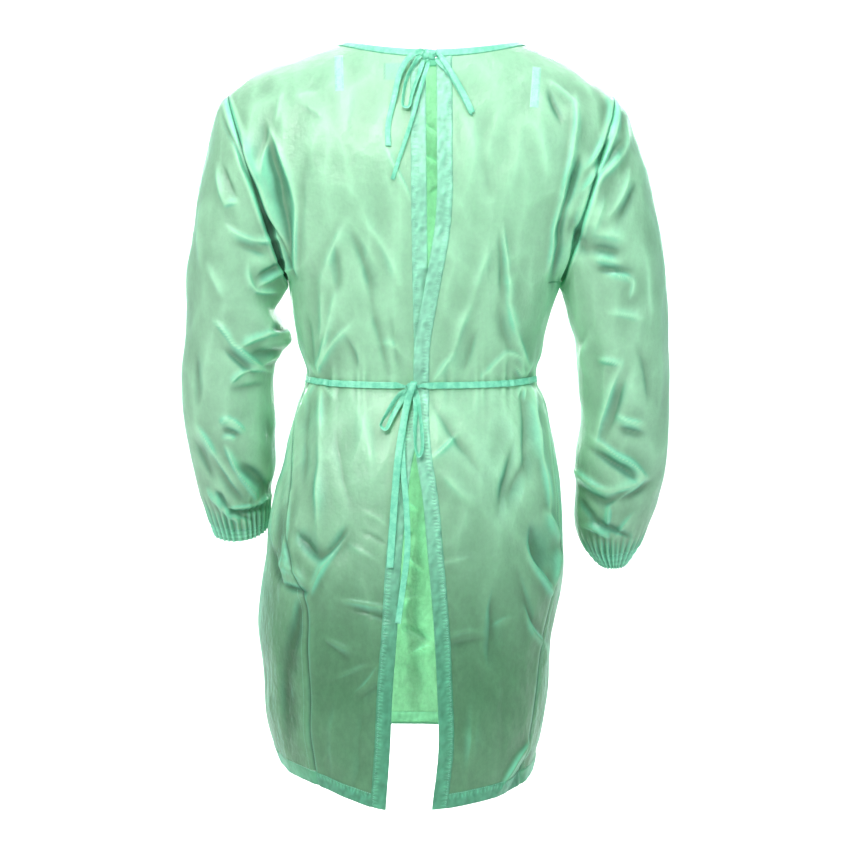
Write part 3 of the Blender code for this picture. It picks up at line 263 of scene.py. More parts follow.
# Folds in millimetres: a soft ridge, or a trough where the height is negative, from one place to another.
# A bend bows it sideways, to the wearer's right on a fold that runs down.
FOLD_GAIN = 1.5
FOLD_COLUMNS = ("x0", "drop0", "x1", "drop1", "bend", "width", "height")
BACK_FOLDS = read(
    FOLD_COLUMNS,
    (
        (-213, 138, -185, 302, 3, 11, -9), (-209, 122, -177, 219, 4, 5, 4),
        (-177, 219, -175, 315, 0, 5, 4), (-210, 125, -218, 181, 0, 5, 3),
        (-244, 125, -218, 202, -3, 9, 5), (-272, 109, -221, 231, 3, 4, -3),
        (-221, 231, -182, 312, 0, 4, -4), (-174, 78, -146, 74, 1, 4, 1.2),
        (-190, 71, -201, 109, 0, 4, 1), (-167, 91, -138, 109, 0, 5, -1),
        (-107, 248, -138, 323, -4, 8, 2.5), (-138, 323, -143, 409, 0, 8, 2),
        (-98, 259, -71, 352, 4, 9, -2.5), (-71, 352, -50, 449, 0, 8, -2), (-84, 239, -33, 332, 5, 9, 2),
        (-121, 265, -116, 352, 0, 8, -2), (-52, 144, -21, 217, 0, 3, 1.6),
        (-150, 442, -133, 391, -3, 5, 2.5), (-133, 391, -116, 336, 0, 7, 2),
        (-146, 446, -98, 382, 4, 5, 2), (-153, 438, -163, 379, 0, 5, -2),
        (-107, 399, -90, 443, 0, 5, -1.6), (-58, 409, -33, 419, 4, 5, 1.6),
        (-44, 377, -33, 452, 0, 7, -1.6), (-127, 111, -98, 219, 7, 12, 1.5),
        (-157, 152, -163, 239, -4, 11, -1.5), (-151, 460, -173, 506, -1, 5, 3),
        (-173, 506, -193, 587, -3, 8, 3.5), (-193, 587, -208, 701, -3, 9, 3),
        (-142, 466, -141, 526, 0, 5, 2.5), (-141, 526, -143, 654, -1, 7, 3),
        (-157, 486, -167, 607, -3, 8, -3), (-185, 619, -189, 727, 0, 3, 2.8),
        (-173, 660, -138, 695, -3, 9, -4), (-107, 654, -138, 695, 3, 9, -4),
        (-107, 667, -153, 741, -3, 5, 3), (-210, 684, -189, 733, -4, 5, -3),
        (-189, 733, -159, 741, 0, 4, -3.5), (-200, 709, -157, 730, 4, 7, 2.5),
        (-167, 746, -179, 810, 0, 8, -3), (-87, 627, -54, 647, 1, 3, 0.7),
        (-84, 654, -50, 674, 0, 3, -0.8), (-98, 674, -63, 695, -1, 3, 0.7),
        (-112, 748, -33, 763, 3, 4, 1.3), (-100, 757, -36, 774, 0, 5, -1.4),
        (-133, 800, -98, 816, 2, 3, 0.8), (-130, 806, -102, 824, 0, 4, -0.7),
        (-124, 853, -70, 832, 3, 3, 0.8), (-96, 872, -58, 826, -3, 3, 0.6), (-88, 880, -48, 850, 2, 4, -0.7),
        (-181, 794, -187, 948, -4, 12, -3), (-121, 888, -125, 995, 0, 11, 1.6),
        (-84, 875, -96, 1009, 3, 11, -1.6), (-98, 486, -71, 580, 5, 11, 1.6),
        (-121, 526, -100, 620, -4, 9, -1.6), (202, 85, 178, 227, 5, 5, 4), (178, 227, 167, 315, 0, 5, 4),
        (205, 165, 187, 227, 3, 5, -5), (187, 227, 175, 336, 1, 7, -6), (167, 69, 181, 109, 0, 5, -2.5),
        (170, 58, 204, 85, 3, 4, 2), (111, 346, 126, 398, 0, 5, 2.5), (126, 398, 142, 443, 0, 5, 3),
        (98, 352, 116, 422, 0, 8, -2), (106, 256, 111, 318, 0, 4, 2), (111, 318, 115, 352, 0, 5, 2),
        (100, 265, 104, 352, 0, 5, -1.6), (76, 454, 111, 425, 0, 5, 2), (111, 425, 135, 435, 3, 4, 2),
        (11, 461, 35, 422, 0, 5, 2), (35, 422, 63, 350, 0, 8, 2), (63, 350, 84, 272, 0, 9, 1.6),
        (50, 449, 71, 393, 0, 7, -1.6), (79, 162, 84, 213, 0, 12, -1.6),
        (141, 111, 161, 192, 8, 12, 1.5), (135, 457, 122, 441, 0, 3, 1.6),
        (137, 456, 133, 435, 0, 3, 1.6), (141, 456, 147, 438, 0, 3, 1.6),
        (135, 465, 127, 482, 0, 3, 1.6), (138, 466, 137, 488, 0, 3, 1.6),
        (142, 466, 150, 482, 0, 3, 1.6), (-147, 456, -158, 441, 0, 3, 1.6),
        (-145, 456, -143, 435, 0, 3, 1.6), (-149, 465, -159, 482, 0, 3, 1.6),
        (-139, 465, -125, 482, 0, 3, 1.6), (146, 472, 158, 561, 1, 5, 4), (158, 561, 171, 647, 1, 5, 3),
        (133, 480, 138, 580, 0, 7, -3), (122, 541, 99, 627, 0, 8, -3), (141, 560, 111, 627, -3, 12, -3),
        (166, 640, 182, 684, 3, 5, 4.5), (182, 684, 171, 751, 3, 5, 4.5), (145, 658, 158, 711, 0, 9, -5.5),
        (141, 691, 173, 753, 0, 3, 3.5), (9, 480, 74, 580, -4, 8, -1.6), (21, 580, 66, 620, 0, 7, 1.3),
        (9, 561, 43, 529, 0, 3, 1.6), (10, 702, 60, 690, 2, 3, 0.8), (30, 795, 74, 789, 2, 3, 0.9),
        (92, 782, 119, 774, 1, 3, 0.8), (36, 806, 76, 800, 0, 5, -1.0), (137, 767, 162, 825, -1, 4, 2.6),
        (162, 825, 165, 855, 0, 4, 2), (127, 721, 154, 808, 0, 11, -3), (100, 1010, 141, 956, 0, 5, 3),
        (116, 1018, 149, 975, 0, 7, -3), (90, 727, 86, 828, 0, 9, -2), (60, 875, 54, 1002, 4, 12, 1.6),
        (107, 861, 104, 975, 0, 12, -1.6),
        (246, 71, 246, 125, 5, 5, 4), (246, 125, 215, 174, 1, 5, 4), (256, 123, 225, 172, 0, 5, -4),
        (260, 79, 253, 136, 5, 5, 4), (253, 136, 211, 204, 3, 5, 4), (263, 139, 225, 194, 0, 5, -4),
        (275, 106, 268, 150, 4, 5, 3), (268, 150, 238, 188, 0, 7, 3), (276, 177, 249, 240, 3, 8, 3.5),
        (285, 199, 264, 243, 0, 8, -3), (203, 237, 216, 286, -3, 11, -4), (241, 215, 227, 266, 0, 10, 3),
        (233, 262, 274, 270, 1, 8, 2.5), (225, 281, 268, 286, 0, 7, -2.5),
        (225, 296, 265, 302, 0, 7, 2.5), (236, 311, 279, 315, 0, 5, -2.5), (249, 317, 283, 328, 3, 4, 3),
        (283, 328, 280, 350, 1, 4, 2.5), (252, 369, 293, 379, 1, 5, 2), (299, 286, 309, 381, 3, 8, 2),
        (241, 436, 267, 441, 1, 4, 2.5), (268, 444, 238, 553, -4, 5, 2.6),
        (275, 455, 250, 545, 0, 8, -2.5), (225, 402, 222, 458, -5, 5, 2.5),
        (265, 513, 304, 524, -1, 5, 2.5), (268, 530, 306, 539, 0, 5, -2), (237, 549, 306, 599, 4, 5, 3),
        (233, 562, 293, 605, 3, 5, -2.5), (206, 588, 261, 620, -5, 7, 3.5),
        (261, 620, 306, 602, -3, 7, 3.5), (218, 618, 261, 636, -3, 8, -3),
        (261, 636, 313, 611, -3, 8, -3), (306, 607, 260, 641, 0, 5, 2.5),
        (259, 643, 257, 673, 0, 4, 2.5), (227, 674, 257, 689, 1, 4, 2.5),
        (238, 667, 290, 689, 0, 4, -2.5), (218, 490, 212, 572, -3, 8, -2.5),
        (293, 422, 309, 490, 3, 8, -2), (293, 654, 268, 692, 0, 5, 2), (216, 633, 238, 665, 0, 5, -2.5),
        (-283, 170, -270, 223, -3, 5, 2.5), (-270, 223, -252, 219, 1, 4, 2),
        (-274, 170, -255, 210, 0, 5, -2), (-265, 255, -227, 272, -3, 5, 2.5),
        (-227, 272, -203, 270, -1, 5, 2.5), (-257, 274, -219, 287, -1, 7, -2.5),
        (-295, 302, -276, 346, 0, 8, 2.5), (-241, 305, -230, 341, -3, 5, 2.5),
        (-230, 341, -200, 341, -1, 5, 2.5), (-223, 330, -184, 309, 1, 4, 3),
        (-225, 317, -192, 298, 0, 5, -3), (-301, 218, -309, 300, -3, 8, 2),
        (-211, 390, -187, 395, 0, 8, -5), (-219, 396, -197, 396, -1, 4, 3),
        (-197, 396, -182, 403, 1, 4, 3), (-252, 415, -216, 399, 1, 5, 3),
        (-236, 426, -195, 422, 0, 8, -4), (-227, 444, -189, 424, 0, 5, 3),
        (-290, 381, -265, 411, 1, 4, 2.5), (-265, 411, -227, 444, 0, 4, 3),
        (-276, 419, -241, 452, 0, 5, -2.5), (-265, 464, -252, 451, 1, 4, 2.5),
        (-252, 451, -215, 455, 4, 4, 2.5), (-263, 475, -222, 471, 0, 7, -2),
        (-283, 522, -270, 516, 1, 4, 2.2), (-270, 516, -252, 532, 1, 4, 2.2),
        (-280, 542, -263, 543, 1, 4, 2.2), (-279, 531, -257, 537, 0, 4, -2),
        (-316, 528, -294, 567, 1, 5, 3), (-294, 567, -261, 622, 0, 5, 3),
        (-324, 547, -299, 602, 0, 7, -2.5), (-276, 557, -263, 588, 0, 5, 3),
        (-263, 588, -237, 635, 1, 5, 3), (-249, 583, -221, 626, 3, 8, -3),
        (-287, 577, -255, 637, 0, 7, -2.5), (-221, 515, -211, 586, 3, 8, -3),
        (-306, 621, -286, 643, -1, 4, 3), (-286, 643, -263, 665, 0, 4, 3),
        (-293, 620, -276, 643, 0, 3, -3), (-276, 643, -242, 669, 0, 4, -3),
        (-275, 643, -240, 641, -1, 3, 2.6), (-240, 641, -221, 635, 0, 3, 2.6),
        (-272, 651, -227, 650, 0, 4, -3), (-317, 422, -312, 504, -3, 8, -2),
    ),
)
FRONT_FOLDS = read(
    FOLD_COLUMNS,
    (
        (-195, 150, -176, 305, 3, 13, -8), (-222, 120, -205, 220, 4, 7, 4), (-150, 120, -168, 240, -3, 9, 3),
        (196, 145, 178, 300, -3, 13, -8), (224, 130, 206, 226, -4, 7, 4), (156, 110, 170, 232, 4, 9, 3),
        (-60, 150, -105, 255, -4, 12, 2), (48, 140, 96, 250, 5, 12, 2), (-112, 205, -132, 418, -5, 18, 5),
        (102, 195, 126, 420, 6, 17, 5), (-52, 262, -76, 440, 4, 15, -4), (56, 272, 78, 442, -4, 15, -4),
        (-146, 452, -120, 405, 0, 6, 3), (-138, 450, -92, 380, 3, 6, 2), (140, 452, 118, 400, 0, 6, 3),
        (132, 450, 84, 372, -4, 6, 2), (-20, 300, -12, 420, 3, 10, 2), (22, 330, 30, 440, 0, 8, -2),
        (-122, 492, -142, 720, -8, 17, 6), (102, 490, 127, 742, 8, 17, 6), (-62, 520, -72, 800, -6, 19, -5),
        (40, 560, 50, 862, 6, 21, 5), (-10, 640, -16, 965, -5, 22, -5), (-92, 700, -102, 985, 4, 16, 4),
        (96, 760, 92, 985, -5, 18, -5), (-150, 480, -168, 640, -4, 7, 4), (150, 478, 166, 630, 4, 7, 4),
        (-150, 780, -150, 985, 5, 18, 6), (-186, 640, -196, 900, -6, 14, -5), (150, 700, 140, 960, 5, 14, 4),
        (-60, 600, -20, 612, 2, 6, 2), (30, 705, 84, 690, -2, 5, 2), (-110, 820, -60, 838, 3, 6, -2),
        (-44, 660, -14, 672, 3, 4, 2), (-52, 716, -16, 704, -3, 4, -2), (-40, 740, -6, 762, 2, 4, 2),
        (-56, 772, -20, 790, -2, 5, -2.4), (-48, 826, -12, 806, 3, 4, 2), (-30, 850, 2, 872, 2, 4, -2),
        (-12, 560, 16, 578, 2, 4, 2), (-58, 690, -34, 668, 2, 4, 1.8), (-24, 896, 12, 884, 2, 5, 2),
        (-6, 150, 20, 162, 2, 3, 1.4), (-8, 96, 18, 118, -2, 3, 1.4), (0, 205, 24, 190, 2, 3, -1.4),
        (-238, 160, -214, 318, 3, 9, -5), (-268, 110, -262, 182, 6, 6, 4), (-286, 205, -262, 232, 2, 6, 3),
        (-222, 402, -300, 388, 4, 9, -5), (-216, 450, -292, 462, -4, 8, 4), (-236, 352, -300, 330, 3, 7, 4),
        (-318, 300, -322, 410, -4, 9, 3), (-262, 528, -292, 648, -5, 8, 4), (-318, 520, -300, 640, 5, 9, -4),
        (-230, 560, -262, 600, 2, 6, -3), (-300, 470, -260, 500, 3, 6, -3), (240, 165, 214, 320, -3, 9, -5),
        (266, 112, 262, 178, -6, 6, 4), (284, 212, 258, 238, -2, 6, 3), (222, 404, 302, 390, -4, 9, -5),
        (224, 452, 294, 466, 4, 8, 4), (238, 346, 304, 326, -3, 7, 4), (322, 310, 326, 430, 5, 9, 3),
        (262, 540, 304, 650, 5, 8, 4), (322, 540, 300, 660, -5, 9, -4), (232, 572, 266, 622, -2, 6, -3),
        (304, 486, 258, 516, -3, 6, -3), (252, 604, 300, 626, 2, 5, 3),
    ),
)

# The right back edge lies over the left one about the waist
OVERLAP_LIFT = 0.0046
OVERLAP_REACH = 0.075
OVERLAP_START = (0.235, 0.295)
OVERLAP_END = (0.555, 0.615)

# Bows. Each tape leaves its knot at an angle in the plane of the back, 0 being to the wearer's right
# and 90 up, and at a depth, more than 0 being nearer the cloth. The tables give places along it, how far
# it stands off the cloth, and how far it leans on edge.
TAPE_COLUMNS = ("x", "drop", "lift", "tilt")
KNOT_GAP = 0.0004
NECK_KNOT = {"x": 0.0060, "drop": 0.0240, "lift": 0.0062, "size": (0.0100, 0.0050, 0.0074)}
WAIST_KNOT = {"x": -0.0180, "drop": 0.4665, "lift": 0.0056, "size": (0.0070, 0.0036, 0.0056)}
NECK_LOOP_LEFT = bow(
    ((188, 0.0), (222, 0.0)),
    (
        (-0.0130, 0.0340, 0.0062, 35), (-0.0235, 0.0540, 0.0050, 50), (-0.0290, 0.0800, 0.0046, 55),
        (-0.0285, 0.0930, 0.0046, 65), (-0.0220, 0.0940, 0.0046, 65), (-0.0175, 0.0780, 0.0046, 55),
        (-0.0080, 0.0500, 0.0056, 40),
    ),
)
NECK_LOOP_RIGHT = bow(
    ((326, 0.0), (356, 0.0)),
    (
        (0.0300, 0.0450, 0.0040, 0), (0.0480, 0.0740, 0.0014, 0), (0.0600, 0.0975, 0.0012, 0),
        (0.0625, 0.1020, 0.0026, 0), (0.0604, 0.0968, 0.0042, 0), (0.0490, 0.0730, 0.0048, 0),
        (0.0320, 0.0440, 0.0072, 0),
    ),
)
NECK_TAIL_OUTER = bow(
    ((158, -0.001),),
    (
        (-0.0200, 0.0270, 0.0100, 0), (-0.0330, 0.0480, 0.0096, 0), (-0.0410, 0.0820, 0.0048, 0),
        (-0.0490, 0.1200, 0.0016, 0), (-0.0485, 0.1460, 0.0013, 0),
    ),
)
NECK_TAIL_INNER = bow(
    ((262, -0.001),),
    (
        (0.0005, 0.0480, 0.0088, 0), (-0.0080, 0.0760, 0.0068, 0), (-0.0180, 0.1130, 0.0060, 0),
        (-0.0320, 0.1560, 0.0019, 0), (-0.0430, 0.1900, 0.0013, 0),
    ),
)
WAIST_LOOP_LEFT = bow(
    ((203, 0.0005), (226, 0.0005)),
    (
        (-0.0370, 0.4800, 0.0074, 30), (-0.0510, 0.5010, 0.0066, 45), (-0.0590, 0.5170, 0.0066, 65),
        (-0.0530, 0.5220, 0.0066, 65), (-0.0440, 0.5060, 0.0062, 30), (-0.0335, 0.4880, 0.0064, 10),
    ),
)
WAIST_LOOP_RIGHT = bow(
    ((297, 0.0005), (322, 0.0005)),
    (
        (-0.0125, 0.4930, 0.0056, 30), (-0.0135, 0.5200, 0.0064, 50), (-0.0120, 0.5480, 0.0072, 60),
        (-0.0080, 0.5560, 0.0074, 65), (-0.0040, 0.5480, 0.0074, 60), (-0.0045, 0.5200, 0.0072, 50),
        (-0.0080, 0.4930, 0.0070, 40),
    ),
)
WAIST_TAIL_OUTER = bow(
    ((62, -0.0020),),
    (
        (-0.0150, 0.4610, 0.0118, 0), (-0.0185, 0.4700, 0.0134, 0), (-0.0232, 0.4850, 0.0126, 0),
        (-0.0300, 0.5200, 0.0112, 0), (-0.0360, 0.5600, 0.0094, 0), (-0.0395, 0.6000, 0.0070, 0),
        (-0.0430, 0.6500, 0.0044, 0), (-0.0465, 0.7020, 0.0036, 0),
    ),
)
WAIST_TAIL_INNER = bow(
    ((250, 0.0010),),
    (
        (-0.0245, 0.4900, 0.0072, 0), (-0.0290, 0.5200, 0.0066, 0), (-0.0300, 0.5600, 0.0056, 0),
        (-0.0250, 0.6200, 0.0044, 0), (-0.0235, 0.6800, 0.0034, 0), (-0.0300, 0.7320, 0.0030, 0),
        (-0.0360, 0.7750, 0.0030, 0),
    ),
)

# Short tapes on the shoulder blades, and the care label inside the left back panel
SHOULDER_TAPES = {
    "left": ((-0.1165, 0.022), (-0.1140, 0.072)),
    "right": ((0.1510, 0.038), (0.1455, 0.094)),
}
LABEL_TOP = (-0.040, 0.0345)
LABEL_SIZE = (0.030, 0.022)

# The cut of each piece that shows: width, length, area where it isn't a rectangle, and how it is held
SHEETS = {
    "front_panel_cloth": (0.780, 1.020, 0.680, "hung", "neck_binding"),
    "back_panel_left_cloth": (0.270, 1.030, 0.215, "hung", "neck_binding"),
    "back_panel_right_cloth": (0.280, 1.030, 0.232, "hung", "neck_binding"),
    "sleeve_left_cloth": (0.500, 0.620, 0.222, "gathered", "back_panel_left"),
    "sleeve_right_cloth": (0.500, 0.660, 0.238, "gathered", "back_panel_right"),
    "cuff_left_cloth": (0.225, 0.038, None, "gathered", "sleeve_left"),
    "cuff_right_cloth": (0.250, 0.040, None, "gathered", "sleeve_right"),
}

# Sewing: how far apart the stitches start, and their size
STITCH_PITCH = 0.0030
STITCH_LENGTH = 0.0025
STITCH_WIDTH = 0.0008

# The weave, and the puckers beside the zigzag sewing of a turned edge
WEAVE_PITCH = 0.0007
WEAVE_DEPTH = 0.00003
PUCKER_PITCH = 0.0052
PUCKER_PLACE = 0.0195
PUCKER_REACH = 0.0062
PUCKER_DEPTH = 0.0005

# Colours. The top and low colours of the cloth and bands are painted light and shade: the cloth is painted
# lighter high on the gown and darker low on it.
CLOTH_LIT_TOP = (0.400, 0.70, 0.500, 1.0)
CLOTH_SHADED_LOW = (0.070, 0.165, 0.098, 1.0)
CLOTH_THROUGH = (0.25, 0.60, 0.32, 1.0)
FRONT_THROUGH = (0.185, 0.56, 0.26, 1.0)
BAND_LIT_TOP = (0.35, 0.80, 0.59, 1.0)
BAND_SHADED_LOW = (0.095, 0.39, 0.24, 1.0)
TIE_DARK = (0.15, 0.58, 0.40, 1.0)
TIE_LIGHT = (0.26, 0.75, 0.53, 1.0)
SHOULDER_DARK = (0.32, 0.79, 0.54, 1.0)
SHOULDER_LIGHT = (0.44, 0.90, 0.66, 1.0)
LABEL_DARK = (0.44, 0.80, 0.62, 1.0)
LABEL_LIGHT = (0.52, 0.88, 0.70, 1.0)
THREAD_DARK = (0.22, 0.56, 0.40, 1.0)
THREAD_LIGHT = (0.30, 0.66, 0.50, 1.0)
ZIGZAG_DARK = (0.24, 0.62, 0.46, 1.0)
ZIGZAG_LIGHT = (0.40, 0.86, 0.68, 1.0)
# Painted shade on the steep sides of folds
STEEP_SHADE = (0.13, 0.50, 0.36, 1.0)
DOUBLED = (0.30, 0.84, 0.62, 1.0)


def smooth(table, name, key, at):
    """A table's column at any key: a cubic curve through its rows."""
    xs, ys = table[key], table[name]
    slopes = np.gradient(ys, xs)
    at = np.clip(np.asarray(at, float), xs[0], xs[-1])
    i = np.clip(np.searchsorted(xs, at, side="right") - 1, 0, len(xs) - 2)
    h = xs[i + 1] - xs[i]
    t = (at - xs[i]) / h
    ends = (1 + 2 * t) * (1 - t) ** 2 * ys[i] + t * t * (3 - 2 * t) * ys[i + 1]
    return ends + t * (1 - t) ** 2 * h * slopes[i] - t * t * (1 - t) * h * slopes[i + 1]


def step(low, high, value):
    """0 below low, 1 above high and a smooth rise between."""
    t = np.clip((value - low) / (high - low), 0, 1)
    return t * t * (3 - 2 * t)


def signed_power(value, power):
    return np.sign(value) * np.abs(value) ** power


def unit(vectors):
    return vectors / np.maximum(np.linalg.norm(vectors, axis=-1, keepdims=True), 1e-12)


def resample(line, lengths):
    """Points at the given distances along a line of close points."""
    steps = np.linalg.norm(np.diff(line, axis=0), axis=1)
    along = np.concatenate([[0], np.cumsum(steps)])
    return np.stack([np.interp(lengths, along, line[:, k]) for k in range(3)], axis=1)


def line_length(line):
    return float(np.linalg.norm(np.diff(line, axis=0), axis=1).sum())


def columns_of(line, face):
    """A row's points from the centre to the side. The back's first cells span its edge band."""
    total = line_length(line)
    if face == FRONT:
        return resample(line, np.linspace(0, total, FRONT_CELLS + 1))
    band = np.linspace(0, BAND_WIDTH, BAND_CELLS + 1)
    return resample(line, np.concatenate([band, np.linspace(BAND_WIDTH, total, BACK_CELLS + 1)[1:]]))


def section_line(drop, side, face):
    """One quarter of the body's section, from its centre to the side seam, as close points."""
    seam_name = "seam_left" if side == LEFT else "seam_right"
    left, right, back, front, seam = (
        float(smooth(SECTIONS, name, "drop", drop)) for name in ("left", "right", "back", "front", seam_name)
    )
    centre, half = (left + right) / 2, (right - left) / 2
    start = 180.0
    if face == BACK:
        edge = float(smooth(BACK_EDGES, "left" if side == LEFT else "right", "drop", drop))
        share = side * (edge - centre) / half
        start = math.degrees(math.asin(signed_power(share, ROUNDNESS / 2)))
    angles = np.radians(np.linspace(start, seam, 91))
    across = signed_power(np.sin(angles), 2 / ROUNDNESS)
    away = signed_power(np.cos(angles), 2 / ROUNDNESS)
    y = np.where(away > 0, -back * away, -front * away)
    x = centre + side * half * across
    to_front = (1 - away) / 2
    aside = step(0.05, 0.75, across) * (1 - step(0.5, 1.0, to_front))
    low = step(WAIST_DROP, HEM_DROP, drop)
    rise = low * (FRONT_HEM_RISE * to_front + SIDE_HEM_RISE[side] * aside)
    rise -= WAIST_SAG * math.exp(-(((drop - WAIST_DROP) / 0.06) ** 2)) * np.clip(away, 0, 1)
    return np.stack([x, y, rise - drop], axis=1)


def border(side, face, rows):
    """The shoulder seam and then the armhole, at any of the yoke's rows."""
    sleeve = LEFT_SLEEVE if side == LEFT else RIGHT_SLEEVE
    first = {name: values[0] for name, values in sleeve.items()}
    length = first["outer"] - NECK_REACH[side]
    start = BINDING_DEPTH / length
    share = np.where(rows < 1, rows * start, start + (rows - 1) / (SHOULDER_ROWS - 1) * (1 - start))
    share = np.clip(share, 0, 1)
    x = side * (NECK_REACH[side] + length * share)
    shoulder = np.stack([x, 0 * x, -smooth(SHOULDERS[side], "drop", "reach", share)], axis=1)
    turn = np.clip((rows - SHOULDER_ROWS) / ARMHOLE_ROWS, 0, 1) * math.pi
    depth = first["back"] if face == BACK else first["front"]
    x = side * ((first["outer"] + first["inner"]) + (first["outer"] - first["inner"]) * np.cos(turn)) / 2
    drops = first["outer_drop"], first["inner_drop"]
    drop = (drops[0] + drops[1] + (drops[0] - drops[1]) * np.cos(turn)) / 2
    armhole = np.stack([x, face * depth * np.sin(turn), -drop], axis=1)
    return np.where(rows[:, None] <= SHOULDER_ROWS, shoulder, armhole)


def yoke(side, face):
    """The quarter above the arms. Each row is an arc from the centre line to the shoulder or armhole."""
    line = CENTRE_LINES[face]
    rows = np.linspace(0, YOKE_ROWS, YOKE_ROWS * FINE + 1)
    first = line["drop"][0]
    rest = (rows - 1) / (YOKE_ROWS - 1) * (UNDERARM_DROP - first - BINDING_DEPTH)
    drops = first + np.where(rows < 1, rows * BINDING_DEPTH, BINDING_DEPTH + rest)
    arcs = []
    for row, drop, end in zip(rows, drops, border(side, face, rows)):
        share = row / YOKE_ROWS
        power = 2 + (ROUNDNESS - 2) * share
        middle = FRONT_CENTRE_X * (1 - share) ** 2
        depth = abs(float(smooth(line, "y", "drop", drop)))
        last = math.acos(min(abs(end[1]) / depth, 1) ** (power / 2))
        half = abs(end[0] - middle) / math.sin(last) ** (2 / power)
        start = 0.0
        if face == BACK:
            edge = float(smooth(BACK_EDGES, "left" if side == LEFT else "right", "drop", drop))
            start = math.asin(signed_power(side * (edge - middle) / half, power / 2))
        turn = np.linspace(start, last, 181)
        x = middle + side * half * signed_power(np.sin(turn), 2 / power)
        y = face * depth * signed_power(np.cos(turn), 2 / power)
        z = (end[2] + drop) * np.sin(np.clip(turn / last, 0, 1) * math.pi / 2) ** 2 - drop
        arcs.append(columns_of(np.stack([x, y, z], axis=1), face))
    grid = np.stack(arcs)
    weight = (step(2, 5, rows) * (1 - step(9, 13, rows)))[1:-1, None, None] / 2
    for _ in range(120):
        even = (grid[:-2, 1:-1] + grid[2:, 1:-1]) / 2
        grid[1:-1, 1:-1] += weight * (even - grid[1:-1, 1:-1])
    return grid


def quarter(side, face):
    """A quarter of the body from the neck to the hem, as a grid of points."""
    drops = np.linspace(UNDERARM_DROP, HEM_DROP, SKIRT_CELLS + 1)[1:]
    skirt = [columns_of(section_line(drop, side, face), face) for drop in drops]
    return np.concatenate([yoke(side, face), np.stack(skirt)])


def sleeve_rings(table, side, rows, columns):
    """A tube's grid of points, from the table's first section to its last."""
    at = np.linspace(0, table["row"][-1], rows + 1)
    value = {name: smooth(table, name, "row", at)[:, None] for name in SLEEVE_TABLE_COLUMNS}
    turn = np.linspace(0, 2 * math.pi, columns, endpoint=False)[None]
    depth = np.where(np.sin(turn) > 0, value["back"], value["front"])
    middle_x = (value["outer"] + value["inner"]) / 2
    middle_drop = (value["outer_drop"] + value["inner_drop"]) / 2
    across = np.cos(turn) * (value["outer"] - value["inner"]) / 2
    down = np.cos(turn) * (value["outer_drop"] - value["inner_drop"]) / 2
    away = -depth * np.sin(turn)
    z = -(middle_drop + down) + value["lean"] * away
    points = np.stack([side * (middle_x + across), value["middle"] + away, z], axis=-1)
    waves = np.cos(GATHERS * turn) * value["gather"]
    return points, waves


def normals_of(points, closed=False):
    """Outward normals of a grid, by differences between neighbouring points."""
    down = np.gradient(points, axis=0)
    if closed:
        across = np.roll(points, -1, axis=1) - np.roll(points, 1, axis=1)
    else:
        across = np.gradient(points, axis=1)
    normals = unit(np.cross(down, across))
    centre = points.mean(axis=(0, 1))
    centre[1] = 0.0 if not closed else centre[1]
    if (normals * (points - centre)).sum() < 0:
        normals = -normals
    return normals


def share_normals(normals, places):
    """Gives grids that meet along a seam one normal there, so their walls end side by side."""
    total = unit(sum(normals[name][index] for name, index in places))
    for name, index in places:
        normals[name][index] = total


def all_normals(body, sleeves):
    """Normals of the four body quarters and both sleeves, shared along their seams."""
    normals = {key: normals_of(grid) for key, grid in body.items()}
    for side, grid in sleeves.items():
        normals[side] = normals_of(grid, closed=True)
    share_normals(normals, [((LEFT, FRONT), (slice(None), 0)), ((RIGHT, FRONT), (slice(None), 0))])
    tip = SHOULDER_ROWS * FINE
    rows = slice(tip, YOKE_ROWS * FINE + 1)
    around = np.arange(ARMHOLE_ROWS * FINE + 1)
    for side in (LEFT, RIGHT):
        for border_rows in (slice(YOKE_ROWS * FINE, None), slice(0, tip + 1)):
            share_normals(normals, [((side, face), (border_rows, -1)) for face in (BACK, FRONT)])
        for face in (BACK, FRONT):
            ring = (0, (-face * around) % SLEEVE_COLUMNS)
            share_normals(normals, [((side, face), (rows, -1)), (side, ring)])
    return normals


def ridge_height(points, table):
    """How far the folds in a table raise each point, seen along the wearer's depth."""
    height = np.zeros(points.shape[:-1])
    x = points[..., 0] * 1000 + 3.5 * noise_at(points, 0.045, 21.0)
    drop = -points[..., 2] * 1000 + 3.5 * noise_at(points, 0.045, 33.0)
    uneven = 1 + 0.35 * noise_at(points, 0.038, 45.0)
    for x0, drop0, x1, drop1, bend, width, rise in zip(*(table[name] for name in FOLD_COLUMNS)):
        length = math.hypot(x1 - x0, drop1 - drop0)
        ux, ud = (x1 - x0) / length, (drop1 - drop0) / length
        along = ((x - x0) * ux + (drop - drop0) * ud) / length
        inside = np.clip(along, 0, 1)
        aside = (x - x0) * ud - (drop - drop0) * ux - bend * 4 * inside * (1 - inside)
        ends = step(-0.25, 0.40, along) * (1 - step(0.60, 1.25, along))
        steeper = 0.72 if round(x0 + drop0) % 2 else 1.35
        aside = aside / width
        height += rise * ends * np.exp(-np.abs(np.where(aside > 0, aside * steeper, aside / steeper)) ** 1.4)
    return height * uneven * FOLD_GAIN * (1 + 0.3 * step(470, 600, drop)) / 1000


def noise_at(points, size, shift=0.0):
    """Smooth noise from -1 to 1 over a grid of points, with features of about the given size."""
    flat = points.reshape(-1, 3) / size + shift
    return np.array([noise.noise(Vector(p)) for p in flat.tolist()]).reshape(points.shape[:-1])


